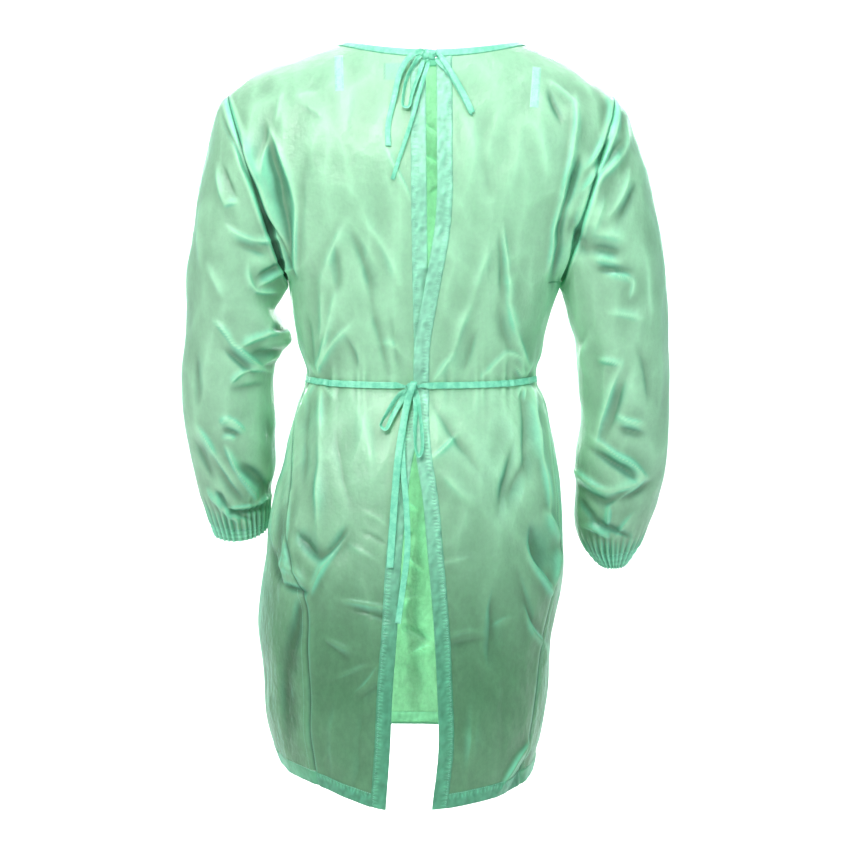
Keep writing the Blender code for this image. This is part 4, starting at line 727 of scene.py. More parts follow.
def crumple(points):
    """The thin cloth's shallow crumpling: soft swells and straight, sharper creases."""
    stretched = points * np.array([1.0, 1.0, 0.55])
    swell = 0.0018 * noise_at(points, 0.075) + 0.0007 * noise_at(stretched, 0.030, 7.0)
    crease = 0.0022 * (0.22 - np.abs(noise_at(stretched, 0.042, 3.0)))
    long_crease = 0.0042 * (0.2 - np.abs(noise_at(points * np.array([1.0, 1.0, 0.42]), 0.065, 13.0)))
    return swell + crease + long_crease


def waist_pleats(points):
    """Small pleats that run up and down from the tie and die out away from it."""
    x, drop = points[..., 0], -points[..., 2]
    fade = np.exp(-np.abs(drop - WAIST_DROP) / 0.022)
    phase = x * 2 * math.pi / 0.017 + 2.5 * np.sin(x * 71) + 1.7 * np.sin(x * 157 + 1)
    return -0.0022 * fade * (0.5 + 0.5 * np.cos(phase)) * (0.45 + 0.55 * step(0.05, 0.15, np.abs(x)))


def cloth_height(points, normals):
    """All folds together. The back's table fades into the front's round the sides."""
    front = 0.5 + 0.5 * np.clip(normals[..., 1] / 0.5, -1, 1)
    height = ridge_height(points, BACK_FOLDS) * (1 - front) + ridge_height(points, FRONT_FOLDS) * front
    return height + crumple(points)


def seam_dip(distance, depth):
    """A sewn seam: a narrow valley with a low swell on each side."""
    dip = -depth * np.exp(-((distance / 0.0030) ** 2))
    return dip + 0.4 * depth * np.exp(-(((distance - 0.009) / 0.005) ** 2))


def seam_depth(rows):
    """Seams lie shallow at the shoulder and the side, and deep round the armhole."""
    tip, underarm = SHOULDER_ROWS, YOKE_ROWS
    armhole = 0.0034 * step(tip, tip + 1.5, rows) * (1 - step(underarm - 0.5, underarm + 2, rows))
    return 0.0007 + armhole + 0.0007 * step(underarm, underarm + 3, rows)


def seam_shade(distance, rows, side):
    """How much painted shade darkens a seam's valley, from 0 to 1: most round the left armhole, and some
    down the side.
    """
    tip, underarm = SHOULDER_ROWS, YOKE_ROWS
    armhole = step(tip, tip + 1, rows) * (1 - step(underarm, underarm + 4, rows))
    below = step(underarm + 2, underarm + 9, rows)
    return np.exp(-((distance / 0.0020) ** 2)) * ((1.0 if side == LEFT else 0.55) * armhole + 0.6 * below)


def near(distance, width):
    """1 within a width of a seam, falling to 0 just past it."""
    return 1 - step(width - 0.0012, width + 0.0012, distance)


def looks_of(height, points, doubled=None):
    """What the cloth's colour follows: the height in a crease and how steep it is, for painted shade and
    highlight, and double layers.
    """
    blurred = height.copy()
    for _ in range(40):
        blurred[1:-1] += 0.5 * ((blurred[:-2] + blurred[2:]) / 2 - blurred[1:-1])
        blurred[:, 1:-1] += 0.5 * ((blurred[:, :-2] + blurred[:, 2:]) / 2 - blurred[:, 1:-1])
    down = np.linalg.norm(np.gradient(points, axis=0), axis=-1) + 1e-5
    across = np.linalg.norm(np.gradient(points, axis=1), axis=-1) + 1e-5
    steep = np.hypot(np.gradient(height, axis=0) / down, np.gradient(height, axis=1) / across)
    doubled = 0 * height if doubled is None else doubled
    return {"fold": height - blurred, "steep": steep, "doubled": doubled}


def fold_body(body, normals):
    folded, heights = {}, {}
    for (side, face), grid in body.items():
        rows = np.arange(len(grid)) / FINE
        height = cloth_height(grid, normals[side, face]) * step(0.6, 4, rows)[:, None] + waist_pleats(grid)
        to_seam = np.linalg.norm(grid - grid[:, -1:], axis=-1)
        height = height + seam_dip(to_seam, seam_depth(rows)[:, None]) * step(0.6, 2, rows)[:, None]
        if (side, face) == (RIGHT, BACK):
            drop = -grid[..., 2]
            reach = np.linalg.norm(grid - grid[:, :1], axis=-1)
            window = step(*OVERLAP_START, drop) * (1 - step(*OVERLAP_END, drop))
            height = height + OVERLAP_LIFT * window * (1 - step(BAND_WIDTH, OVERLAP_REACH, reach))
        folded[side, face] = grid + normals[side, face] * height[..., None]
        shoulder = np.array([0.0055]) * (1 - step(SHOULDER_ROWS + 1, SHOULDER_ROWS + 4, rows)) + 0.0045
        doubled = near(to_seam, shoulder[:, None]) * (1 - step(YOKE_ROWS - 3, YOKE_ROWS + 1, rows))[:, None]
        if (side, face) == (LEFT, BACK):
            x, drop = grid[..., 0] - LABEL_TOP[0], -grid[..., 2] - LABEL_TOP[1]
            half_width, half_height = LABEL_SIZE[0] / 2, LABEL_SIZE[1] / 2
            inside = near(np.abs(x), half_width) * near(np.abs(drop - half_height), half_height)
            doubled = np.maximum(doubled, 0.85 * inside)
        # The folds' height drives painted shade in hollows and painted highlight on ridges.
        looks = looks_of(height, grid, doubled)
        looks["seam"] = seam_shade(to_seam, rows[:, None], side)
        # Painted shadow: a dark line at the care label's sides.
        if (side, face) == (LEFT, BACK):
            looks["fold"] -= 0.0014 * inside * (1 - near(np.abs(x), LABEL_SIZE[0] / 2 - 0.0015))
        heights[side, face] = looks
    return folded, heights


GATHER_RISE = 0.0030


def gather_waves(side, rows, columns, first, last):
    """Uneven gathers round a sleeve's end, from no height at the first row to all of it at the last."""
    turn = np.linspace(0, 2 * math.pi, columns, endpoint=False)[None]
    grow = np.linspace(first, last, rows)[:, None]
    drift = 0.9 * np.sin(3 * turn + side) + 0.6 * np.sin(7 * turn + 2 * side)
    uneven = 0.65 + 0.35 * np.sin(5 * turn + side) * np.sin(2 * turn + 1)
    return np.cos(GATHERS * turn + drift) * uneven * grow


def fold_sleeves(sleeves, normals):
    folded, heights = {}, {}
    for side, grid in sleeves.items():
        rows = np.arange(len(grid)) / (len(grid) - 1)
        height = cloth_height(grid, normals[side]) * (1 - 0.7 * step(0.9, 1.0, rows))[:, None]
        to_seam = np.linalg.norm(grid - grid[:1], axis=-1)
        turn = np.minimum(np.arange(SLEEVE_COLUMNS), SLEEVE_COLUMNS - np.arange(SLEEVE_COLUMNS)) / FINE
        height = height + seam_dip(to_seam, seam_depth(SHOULDER_ROWS + turn)[None])
        waves = gather_waves(side, len(grid), SLEEVE_COLUMNS, 0, 1)
        height = height + waves * (GATHER_RISE * step(0.80, 1.0, rows) ** 2)[:, None]
        folded[side] = grid + normals[side] * height[..., None]
        # The folds' height drives painted shade in hollows and painted highlight on ridges.
        heights[side] = looks_of(height, grid, near(to_seam, 0.0075) * 0.8)
        heights[side]["seam"] = seam_shade(to_seam, SHOULDER_ROWS + turn[None], side)
    return folded, heights


def link(name, mesh, material, nodes):
    """Adds a mesh as a piece of the gown that stands for the named solids."""
    obj = bpy.data.objects.new(name, mesh)
    bpy.context.scene.collection.objects.link(obj)
    mesh.materials.append(material)
    mesh.shade_smooth()
    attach(obj, "root")
    if nodes:
        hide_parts(*nodes)
    return obj


def grid_mesh(name, points, closed=False, looks=None, flip=False):
    """A surface over a grid of points, with its real lengths as texture coordinates."""
    rows, columns = points.shape[:2]
    index = np.arange(rows * columns).reshape(rows, columns)
    across = np.linalg.norm(np.diff(points, axis=1, append=points[:, :1]), axis=-1)
    u = np.concatenate([np.zeros((rows, 1)), np.cumsum(across, axis=1)], axis=1)
    down = np.linalg.norm(np.diff(points, axis=0), axis=-1).mean(axis=1)
    v = np.concatenate([[0], np.cumsum(down)])[:, None] + 0 * u
    if closed:
        index = np.concatenate([index, index[:, :1]], axis=1)
    u, v = u[:, : index.shape[1]], v[:, : index.shape[1]]
    corners = ((0, 0), (1, 0), (1, 1), (0, 1))
    if flip:
        corners = corners[::-1]

    def at_corners(values):
        high, wide = values.shape[0] - 1, values.shape[1] - 1
        return np.stack([values[r : r + high, c : c + wide] for r, c in corners], axis=-1).reshape(-1, 4)

    mesh = bpy.data.meshes.new(name)
    mesh.from_pydata(points.reshape(-1, 3).tolist(), [], at_corners(index).tolist())
    layer = mesh.uv_layers.new(name="cut")
    uv = np.stack([at_corners(u).ravel(), at_corners(v).ravel()], axis=1)
    layer.data.foreach_set("uv", uv.astype(np.float32).ravel())
    for key, values in (looks or {}).items():
        attribute = mesh.attributes.new(key, "FLOAT", "POINT")
        attribute.data.foreach_set("value", values.astype(np.float32).ravel())
    return mesh


def faces_in(points, outward):
    """Whether a grid's faces would point against the given outward directions."""
    normal = np.cross(points[1:, :-1] - points[:-1, :-1], points[:-1, 1:] - points[:-1, :-1])
    return bool((normal * outward[:-1, :-1]).sum() < 0)


def facing_back(directions):
    """1 where cloth faces the wearer's back, falling to 0 where it faces forwards."""
    return 1 - step(-0.45, 0.20, directions[..., 1])


def strip(name, points, normals, material, nodes, pucker=0.0008, lift=STRIP_LIFT):
    """A turned edge or hem: it wraps the cloth's first line of points and lies on the rest of its width."""
    outward = unit(points[:, 0] - points[:, 1])
    slanted = points + (points[..., 0:1] - points[..., 2:3]) * np.array([0.55, 0.0, 0.35])
    waves = pucker * (noise_at(slanted, 0.010, 11.0) + 0.7 * noise_at(points, 0.0055, 5.0))
    top = points + normals * (lift + waves)[..., None]
    top[:, 0] += outward * 0.0003
    nose = points[:, :1] + outward[:, None] * 0.0009 + normals[:, :1] * lift * 0.35
    under = points[:, :1] - normals[:, :1] * 0.0006
    under_in = points[:, 1:2] - normals[:, 1:2] * 0.0005
    tuck = points[:, -1:] + normals[:, -1:] * 0.0001
    grid = np.concatenate([under_in, under, nose, top, tuck], axis=1)
    edge = outward[:, None]
    directions = np.concatenate([-normals[:, :1], edge, edge, normals, normals[:, -1:]], axis=1)
    height = np.zeros(grid.shape[:2])
    height[:, 3:-1] = waves
    # Painted shade and highlight on the edge's puckered waves.
    looks = looks_of(height * 1.5, grid)
    looks["turned"] = facing_back(directions)
    mesh = grid_mesh(name, grid, looks=looks, flip=not faces_in(grid, directions))
    return link(name, mesh, material, nodes), top


def rounded_strip(path, across, out, width, thick, curl=0.0):
    """Outlines of a thin tape at each place of its path, with rounded borders and a slight curl."""
    shares = (-1.0, -0.93, -0.7, -0.5, 0.0, 0.5, 0.93, 1.0)
    heights = (0.0, 0.9, 0.5, 1.0, 1.15, 1.1, 0.8, 0.0)
    upper = list(zip(shares, heights))
    ring = upper + [(share, -height) for share, height in upper[-2:0:-1]]
    width, curl = np.asarray(width).reshape(-1, 1), np.asarray(curl).reshape(-1, 1)
    points = [
        path + a * width / 2 * across + (h * thick / 2 + curl * a * a) * out for a, h in ring
    ]
    return np.stack(points, axis=1)


def tube(name, rings, material, nodes):
    """A closed solid through a row of outlines, closed at both ends."""
    first, last = rings[:1].mean(axis=1, keepdims=True), rings[-1:].mean(axis=1, keepdims=True)
    ends = [np.repeat(end, rings.shape[1], axis=1) for end in (first, last)]
    grid = np.concatenate([ends[0], rings, ends[1]])
    middle = grid.mean(axis=1, keepdims=True)
    mesh = grid_mesh(name, grid, closed=True, flip=not faces_in(grid, grid - middle))
    return link(name, mesh, material, nodes)


def cloth_at(samples, x, drop):
    """The back's outermost point at a place across and down it, and the normal there."""
    points, directions = samples
    distance = np.hypot(points[:, 0] - x, points[:, 2] + drop)
    near = np.flatnonzero(distance < max(0.004, distance.min() + 0.001))
    best = near[np.argmin(points[near, 1])]
    return np.array([x, points[best, 1], -drop]), directions[best]


def knot_place(knot, samples):
    place, _ = cloth_at(samples, knot["x"], knot["drop"])
    return place + np.array([0.0, -knot["lift"], 0.0])


def leave_knot(knot, centre, leave):
    """Two places just off a knot, straight out from it at the given angle and depth."""
    angle, depth = leave
    across, up = math.cos(math.radians(angle)), math.sin(math.radians(angle))
    wide, deep, high = knot["size"]
    reach = math.sqrt(1 - (depth / deep) ** 2) / math.hypot(across / wide, up / high)
    out = unit(np.array([across / wide**2, 0.0, up / high**2]))
    start = centre + reach * np.array([across, 0.0, up]) + np.array([0.0, depth, 0.0]) + KNOT_GAP * out
    return start, start + 0.0025 * out


def tape_path(tape, knot, samples, stations=90):
    """Places along a tape, its lean at each, and how far each lies from the knot."""
    table = tape["path"]
    centre = knot_place(knot, samples)
    places = []
    for x, drop, lift in zip(table["x"], table["drop"], table["lift"]):
        place, _ = cloth_at(samples, x, drop)
        places.append(place - np.array([0.0, lift, 0.0]))
    tilt = [0.0, 0.0, *table["tilt"]]
    places = [*leave_knot(knot, centre, tape["leaves"][0]), *places]
    if len(tape["leaves"]) > 1:
        places += leave_knot(knot, centre, tape["leaves"][1])[::-1]
        tilt += [0.0, 0.0]
    places = np.array(places)
    steps = np.sqrt(np.linalg.norm(np.diff(places, axis=0), axis=1))
    along = np.concatenate([[0], np.cumsum(steps)])
    line = {"along": along, "x": places[:, 0], "y": places[:, 1], "z": places[:, 2], "tilt": np.array(tilt)}
    at = np.linspace(0, along[-1], stations)
    points = np.stack([smooth(line, name, "along", at) for name in "xyz"], axis=1)
    for point in points:
        place, _ = cloth_at(samples, point[0], -point[2])
        point[1] = min(point[1], place[1] - CLEAR)
    tilt = np.radians(np.interp(at, along, line["tilt"]))
    return points, tilt, np.linalg.norm(points - centre, axis=1)


def make_tape(name, tape, knot, samples, width, material, pinch=0.45):
    """A loose tape, flat against the cloth or leaning on its edge, and bunched where it leaves its knot."""
    places, tilt, away = tape_path(tape, knot, samples)
    along = unit(np.gradient(places, axis=0))
    across = np.cross(along, [0.0, -1.0, 0.0])
    size = np.linalg.norm(across, axis=1)
    for i in range(len(across)):
        if size[i] < 0.25 and i:
            across[i] = across[i - 1]
        across[i] /= max(np.linalg.norm(across[i]), 1e-9)
        if i and across[i] @ across[i - 1] < 0:
            across[i] = -across[i]
    out = unit(np.cross(across, along))
    wander = np.array([noise.noise(Vector((at * 0.08, width * 900, 0.5))) for at in range(len(places))])
    tilt = tilt + 0.25 * wander
    lean, stand = np.cos(tilt)[:, None], np.sin(tilt)[:, None]
    across, out = lean * across + stand * out, lean * out - stand * across
    wide = width * (pinch + (1 - pinch) * step(0.005, 0.020, away))
    curl = 0.0012 * (1 - step(0.005, 0.030, away)) + 0.0004 * wander
    outlines = rounded_strip(places, across, out, wide, TAPE_THICK, curl)
    return tube(f"{name}_cloth", outlines, material, [name])


def make_knot(name, knot, samples, material, wraps):
    """A small tight knot: a lump with the tape wound about it. Each wrap has its lean, reach and width."""
    centre = knot_place(knot, samples)
    size = np.array(knot["size"])
    turn = np.linspace(0, 2 * math.pi, 48, endpoint=False)
    rise = np.linspace(0.06, math.pi - 0.06, 20)[:, None]
    creases = 1 - 0.10 * np.cos(4 * turn[None] + 3 * rise) * np.sin(rise)
    ball = (np.cos(rise) + 0 * turn, np.sin(rise) * np.cos(turn), np.sin(rise) * np.sin(turn))
    lump = np.stack(ball, axis=-1)
    rings = centre + lump * creases[..., None] * size * 0.9
    tube(f"{name}_cloth", rings, material, [name])
    for number, (lean, reach, width) in enumerate(wraps):
        turn = np.linspace(0, 2 * math.pi, 60)
        hoop = (np.sin(turn) * math.sin(lean), -np.cos(turn), np.sin(turn) * math.cos(lean))
        ring = np.stack(hoop, axis=1)
        path = centre + ring * size * reach
        out = unit(ring / size)
        along = unit(np.gradient(path, axis=0))
        across = unit(np.cross(along, out))
        rings = rounded_strip(path, across, out, width, TAPE_THICK, -0.0006)
        tube(f"{name}_wrap_{number + 1}", rings, material, ())


def stitched(name, lines, material):
    """One mesh of many stitches. Each line is its points, its normals and how far it zigzags."""
    corners, faces = [], []
    for points, normals, zigzag in lines:
        steps = np.linalg.norm(np.diff(points, axis=0), axis=1)
        along = np.concatenate([[0], np.cumsum(steps)])
        starts = np.arange(0.001, along[-1] - STITCH_LENGTH, STITCH_PITCH)

        def at(lengths, values):
            return np.stack([np.interp(lengths, along, values[:, k]) for k in range(3)], axis=1)

        a, b = at(starts, points), at(starts + STITCH_LENGTH, points)
        up = unit(at(starts + STITCH_LENGTH / 2, normals))
        aside = unit(np.cross(b - a, up))
        shift = zigzag * (np.arange(len(starts)) % 2 * 2 - 1)[:, None]
        a, b = a - aside * shift, b + aside * shift
        middle = (a + b) / 2
        wide = aside * STITCH_WIDTH / 2
        ring = [a, middle + wide + up * 1e-4, middle + up * 3.5e-4, middle - wide + up * 1e-4, b]
        base = sum(len(c) for c in corners)
        corners.append(np.stack(ring, axis=1).reshape(-1, 3))
        first = base + 5 * np.arange(len(starts))[:, None]
        for face in ((0, 2, 1), (0, 3, 2), (4, 1, 2), (4, 2, 3)):
            faces.append(first + np.array(face))
    mesh = bpy.data.meshes.new(name)
    mesh.from_pydata(np.concatenate(corners).tolist(), [], np.concatenate(faces).tolist())
    return link(name, mesh, material, ())


def node(tree, kind, **settings):
    """A shader node with its settings."""
    made = tree.nodes.new(kind)
    for key, value in settings.items():
        setattr(made, key, value)
    return made


def noise_texture(tree, coordinates, scale, detail=3.0, rough=0.5, stretch=None):
    texture = node(tree, "ShaderNodeTexNoise")
    texture.inputs["Scale"].default_value = scale
    texture.inputs["Detail"].default_value = detail
    texture.inputs["Roughness"].default_value = rough
    if stretch:
        mapping = node(tree, "ShaderNodeMapping")
        mapping.inputs["Scale"].default_value = stretch
        tree.links.new(coordinates, mapping.inputs["Vector"])
        coordinates = mapping.outputs["Vector"]
    tree.links.new(coordinates, texture.inputs["Vector"])
    return texture.outputs["Fac"]


def map_range(tree, value, from_min, from_max, to_min, to_max):
    made = node(tree, "ShaderNodeMapRange", interpolation_type="SMOOTHSTEP")
    names = ("From Min", "From Max", "To Min", "To Max")
    for name, number in zip(names, (from_min, from_max, to_min, to_max)):
        made.inputs[name].default_value = number
    tree.links.new(value, made.inputs["Value"])
    return made.outputs["Result"]


def math_node(tree, operation, a, b):
    made = node(tree, "ShaderNodeMath", operation=operation)
    for socket, value in zip(made.inputs, (a, b)):
        if isinstance(value, (int, float)):
            socket.default_value = value
        else:
            tree.links.new(value, socket)
    return made.outputs[0]


def mix_colour(tree, factor, a, b, blend="MIX"):
    made = node(tree, "ShaderNodeMix", data_type="RGBA", blend_type=blend)
    for socket, value in ((made.inputs[0], factor), (made.inputs[6], a), (made.inputs[7], b)):
        if isinstance(value, (int, float, tuple)):
            socket.default_value = value
        else:
            tree.links.new(value, socket)
    return made.outputs[2]


def weave(tree, coordinates):
    """Crossing threads, as a height from 0 to 1."""
    heights = []
    for direction in ("X", "Y"):
        wave = node(tree, "ShaderNodeTexWave", wave_type="BANDS", bands_direction=direction)
        wave.inputs["Scale"].default_value = 2 * math.pi / 20 / WEAVE_PITCH
        wave.inputs["Distortion"].default_value = 0.6
        wave.inputs["Detail"].default_value = 1.0
        tree.links.new(coordinates, wave.inputs["Vector"])
        heights.append(wave.outputs["Fac"])
    return math_node(tree, "MULTIPLY", *heights)


def new_material(name):
    """A material, its node tree, its main shader and its texture coordinates."""
    material = bpy.data.materials.new(name)
    material.use_nodes = True
    tree = material.node_tree
    return material, tree, tree.nodes["Principled BSDF"], node(tree, "ShaderNodeTexCoord").outputs


def attribute_of(tree, name):
    return node(tree, "ShaderNodeAttribute", attribute_name=name).outputs["Fac"]


def soft_gloss(tree, shader, place, rough):
    """The low, slightly uneven gloss of a tight weave, and its sheen."""
    patches = noise_texture(tree, place["Object"], 26.0, 3.0, 0.6)
    uneven = map_range(tree, patches, 0.35, 0.65, rough - 0.05, rough + 0.07)
    tree.links.new(uneven, shader.inputs["Roughness"])
    shader.inputs["Specular IOR Level"].default_value = 0.55
    shader.inputs["Sheen Weight"].default_value = 0.55
    shader.inputs["Sheen Roughness"].default_value = 0.30
    shader.inputs["Sheen Tint"].default_value = (0.30, 1.0, 0.78, 1.0)


def bumped(tree, shader, bumps):
    """Lays heights over each other, each with its depth in metres."""
    normal = None
    for height, distance in bumps:
        bump = node(tree, "ShaderNodeBump")
        bump.inputs["Strength"].default_value = 1.0
        bump.inputs["Distance"].default_value = distance
        tree.links.new(height, bump.inputs["Height"])
        if normal:
            tree.links.new(normal, bump.inputs["Normal"])
        normal = bump.outputs["Normal"]
    tree.links.new(normal, shader.inputs["Normal"])
    return normal


def pass_light(tree, shader, normal, through, passing, turned=None, shade=None):
    """Lets some light through, with painted shade darkening it in creases, and another share where cloth is
    turned to the back.
    """
    glow = node(tree, "ShaderNodeBsdfTranslucent")
    both = node(tree, "ShaderNodeMixShader")
    colour = through
    if turned:
        share = attribute_of(tree, "turned")
        colour = mix_colour(tree, share, through, turned[0])
        tree.links.new(map_range(tree, share, 0.0, 1.0, passing, turned[1]), both.inputs["Fac"])
    else:
        both.inputs["Fac"].default_value = passing
    if shade:
        tree.links.new(mix_colour(tree, 1.0, colour, shade, "MULTIPLY"), glow.inputs["Color"])
    else:
        glow.inputs["Color"].default_value = colour
    tree.links.new(normal, glow.inputs["Normal"])
    tree.links.new(shader.outputs[0], both.inputs[1])
    tree.links.new(glow.outputs[0], both.inputs[2])
    tree.links.new(both.outputs[0], tree.nodes["Material Output"].inputs["Surface"])


def puckers(tree, place):
    """Small puckers where the zigzag sewing crosses a turned edge, near its inner border."""
    parts = node(tree, "ShaderNodeSeparateXYZ")
    tree.links.new(place["UV"], parts.inputs[0])
    reach = math_node(tree, "ABSOLUTE", math_node(tree, "SUBTRACT", parts.outputs["X"], PUCKER_PLACE), 0.0)
    window = map_range(tree, reach, 0.0, PUCKER_REACH, 1.0, 0.0)
    wave = node(tree, "ShaderNodeTexWave", wave_type="BANDS", bands_direction="Y")
    wave.inputs["Scale"].default_value = 2 * math.pi / 20 / PUCKER_PITCH
    wave.inputs["Distortion"].default_value = 6.0
    wave.inputs["Detail"].default_value = 2.0
    wave.inputs["Detail Scale"].default_value = 1.2
    tree.links.new(place["UV"], wave.inputs["Vector"])
    return math_node(tree, "MULTIPLY", wave.outputs["Fac"], window)


def cloth_material(name, top, low, through, passing, rough, crinkle, turned=None, sewn=False):
    """Thin plain-woven cloth with a soft gloss, and painted light and shade: darker down the gown, in
    creases, on fold sides and in seams, and lighter on ridges.
    """
    material, tree, shader, place = new_material(name)
    parts = node(tree, "ShaderNodeSeparateXYZ")
    tree.links.new(place["Object"], parts.inputs[0])
    blotch = math_node(tree, "SUBTRACT", noise_texture(tree, place["Object"], 7.0, 4.0, 0.55), 0.5)
    # Painted shade: the colour darkens from the waist down to below the hips, standing in for light that
    # falls off down the gown. The blotches added to it are random tone.
    depth = map_range(tree, parts.outputs["Z"], -0.89, -0.49, 1.0, 0.0)
    depth = math_node(tree, "ADD", depth, math_node(tree, "MULTIPLY", blotch, 0.30))
    colour = mix_colour(tree, depth, top, low)
    # Painted shade on the steep sides of folds.
    steep = map_range(tree, attribute_of(tree, "steep"), 0.10, 0.75, 0.0, 0.70)
    colour = mix_colour(tree, steep, colour, STEEP_SHADE)
    doubled = math_node(tree, "MULTIPLY", attribute_of(tree, "doubled"), 0.62)
    colour = mix_colour(tree, doubled, colour, DOUBLED)
    # Painted shade in creases and painted highlight on ridges, from the crease height; the grain below is
    # random tone.
    painted_shade_and_grain = map_range(tree, attribute_of(tree, "fold"), -0.0024, 0.0024, 0.50, 1.22)
    # Painted shade along the seam valleys.
    seam = map_range(tree, attribute_of(tree, "seam"), 0.0, 1.0, 1.0, 0.16)
    painted_shade_and_grain = math_node(tree, "MULTIPLY", painted_shade_and_grain, seam)
    grain = noise_texture(tree, place["Object"], 90.0, 5.0, 0.65)
    painted_shade_and_grain = math_node(tree, "MULTIPLY", painted_shade_and_grain, map_range(tree, grain, 0.3, 0.7, 0.965, 1.03))
    bumps = [
        (noise_texture(tree, place["Object"], 34.0, 3.0, 0.5, (1.0, 1.0, 0.55)), 0.0030 * crinkle),
        (noise_texture(tree, place["Object"], 130.0, 4.0, 0.6), 0.0007 * crinkle),
        (weave(tree, place["UV"]), WEAVE_DEPTH),
    ]
    if sewn:
        pucker = puckers(tree, place)
        fade = map_range(tree, parts.outputs["Z"], -0.60, -0.30, 1.0, 0.35)
        pucker = math_node(tree, "MULTIPLY", pucker, fade)
        # Painted light and shade on the puckers: lighter on their crests.
        painted_shade_and_grain = math_node(tree, "MULTIPLY", painted_shade_and_grain, map_range(tree, pucker, 0.0, 1.0, 0.96, 1.26))
        bumps.append((pucker, PUCKER_DEPTH))
    dyed = mix_colour(tree, 1.0, colour, grey(tree, painted_shade_and_grain), "MULTIPLY")
    tree.links.new(dyed, shader.inputs["Base Color"])
    soft_gloss(tree, shader, place, rough)
    crinkles = noise_texture(tree, place["Object"], 125.0, 5.0, 0.75, (1.0, 1.0, 0.6))
    crinkles = map_range(tree, crinkles, 0.34, 0.66, 0.90, 1.22)
    # The painted crease and seam shade also darkens the light let through the cloth.
    passed = math_node(tree, "MULTIPLY", math_node(tree, "POWER", painted_shade_and_grain, 0.65), crinkles)
    pass_light(tree, shader, bumped(tree, shader, bumps), through, passing, turned, grey(tree, passed))
    return material


def grey(tree, value):
    """A value as a colour, to multiply another by."""
    shade = node(tree, "ShaderNodeCombineColor")
    for channel in ("Red", "Green", "Blue"):
        tree.links.new(value, shade.inputs[channel])
    return shade.outputs[0]


def tape_material(name, dark, light, through, passing, rough):
    """Folded tape, label or thread: slightly mottled, with the same weave and gloss."""
    material, tree, shader, place = new_material(name)
    mottle = map_range(tree, noise_texture(tree, place["Object"], 120.0, 4.0, 0.6), 0.32, 0.68, 0.0, 1.0)
    tree.links.new(mix_colour(tree, mottle, dark, light), shader.inputs["Base Color"])
    soft_gloss(tree, shader, place, rough)
    bumps = (
        (noise_texture(tree, place["Object"], 170.0, 4.0, 0.6), 0.0006),
        (weave(tree, place["UV"]), WEAVE_DEPTH),
    )
    pass_light(tree, shader, bumped(tree, shader, bumps), through, passing)
    return material


def make_materials():
    turned = CLOTH_THROUGH, 0.22
    return {
        "cloth": cloth_material("gown_cloth", CLOTH_LIT_TOP, CLOTH_SHADED_LOW, CLOTH_THROUGH, 0.22, 0.34, 1.0),
        "front": cloth_material(
            "gown_front_cloth", CLOTH_LIT_TOP, CLOTH_SHADED_LOW, FRONT_THROUGH, 0.40, 0.36, 2.4, turned,
        ),
        "band": cloth_material(
            "turned_edge_cloth", BAND_LIT_TOP, BAND_SHADED_LOW, CLOTH_THROUGH, 0.18, 0.40, 1.3, sewn=True,
        ),
        "front_hem": cloth_material(
            "front_hem_cloth", BAND_LIT_TOP, BAND_SHADED_LOW, FRONT_THROUGH, 0.34, 0.40, 1.3, turned,
        ),
        "tie": tape_material("tape_cloth", TIE_DARK, TIE_LIGHT, CLOTH_THROUGH, 0.12, 0.36),
        "shoulder": tape_material(
            "shoulder_tape_cloth", SHOULDER_DARK, SHOULDER_LIGHT, CLOTH_THROUGH, 0.12, 0.4,
        ),
        "label": tape_material("label_cloth", LABEL_DARK, LABEL_LIGHT, LABEL_LIGHT, 0.15, 0.5),
        "thread": tape_material("thread", THREAD_DARK, THREAD_LIGHT, THREAD_LIGHT, 0.05, 0.45),
        "zigzag": tape_material("zigzag_thread", ZIGZAG_DARK, ZIGZAG_LIGHT, ZIGZAG_LIGHT, 0.05, 0.45),
    }


def make_panels(body, heights, normals, paint):
    for side in (LEFT, RIGHT):
        key = side, BACK
        name = f"back_panel_{SIDES[side]}"
        flip = not faces_in(body[key], normals[key])
        mesh = grid_mesh(f"{name}_cloth", body[key], looks=heights[key], flip=flip)
        link(f"{name}_cloth", mesh, paint["cloth"], [name])
    left, right = (LEFT, FRONT), (RIGHT, FRONT)
    points, directions = (
        np.concatenate([grid[left][:, ::-1], grid[right][:, 1:]], axis=1) for grid in (body, normals)
    )
    looks = {
        key: np.concatenate([heights[left][key][:, ::-1], heights[right][key][:, 1:]], axis=1)
        for key in heights[left]
    }
    looks["turned"] = facing_back(directions)
    span = slice(0, len(points) - HEM_ROWS + 1)
    looks = {key: values[span] for key, values in looks.items()}
    mesh = grid_mesh("front_panel_cloth", points[span], looks=looks, flip=not faces_in(points, directions))
    link("front_panel_cloth", mesh, paint["front"], ["front_panel"])
    return points, directions


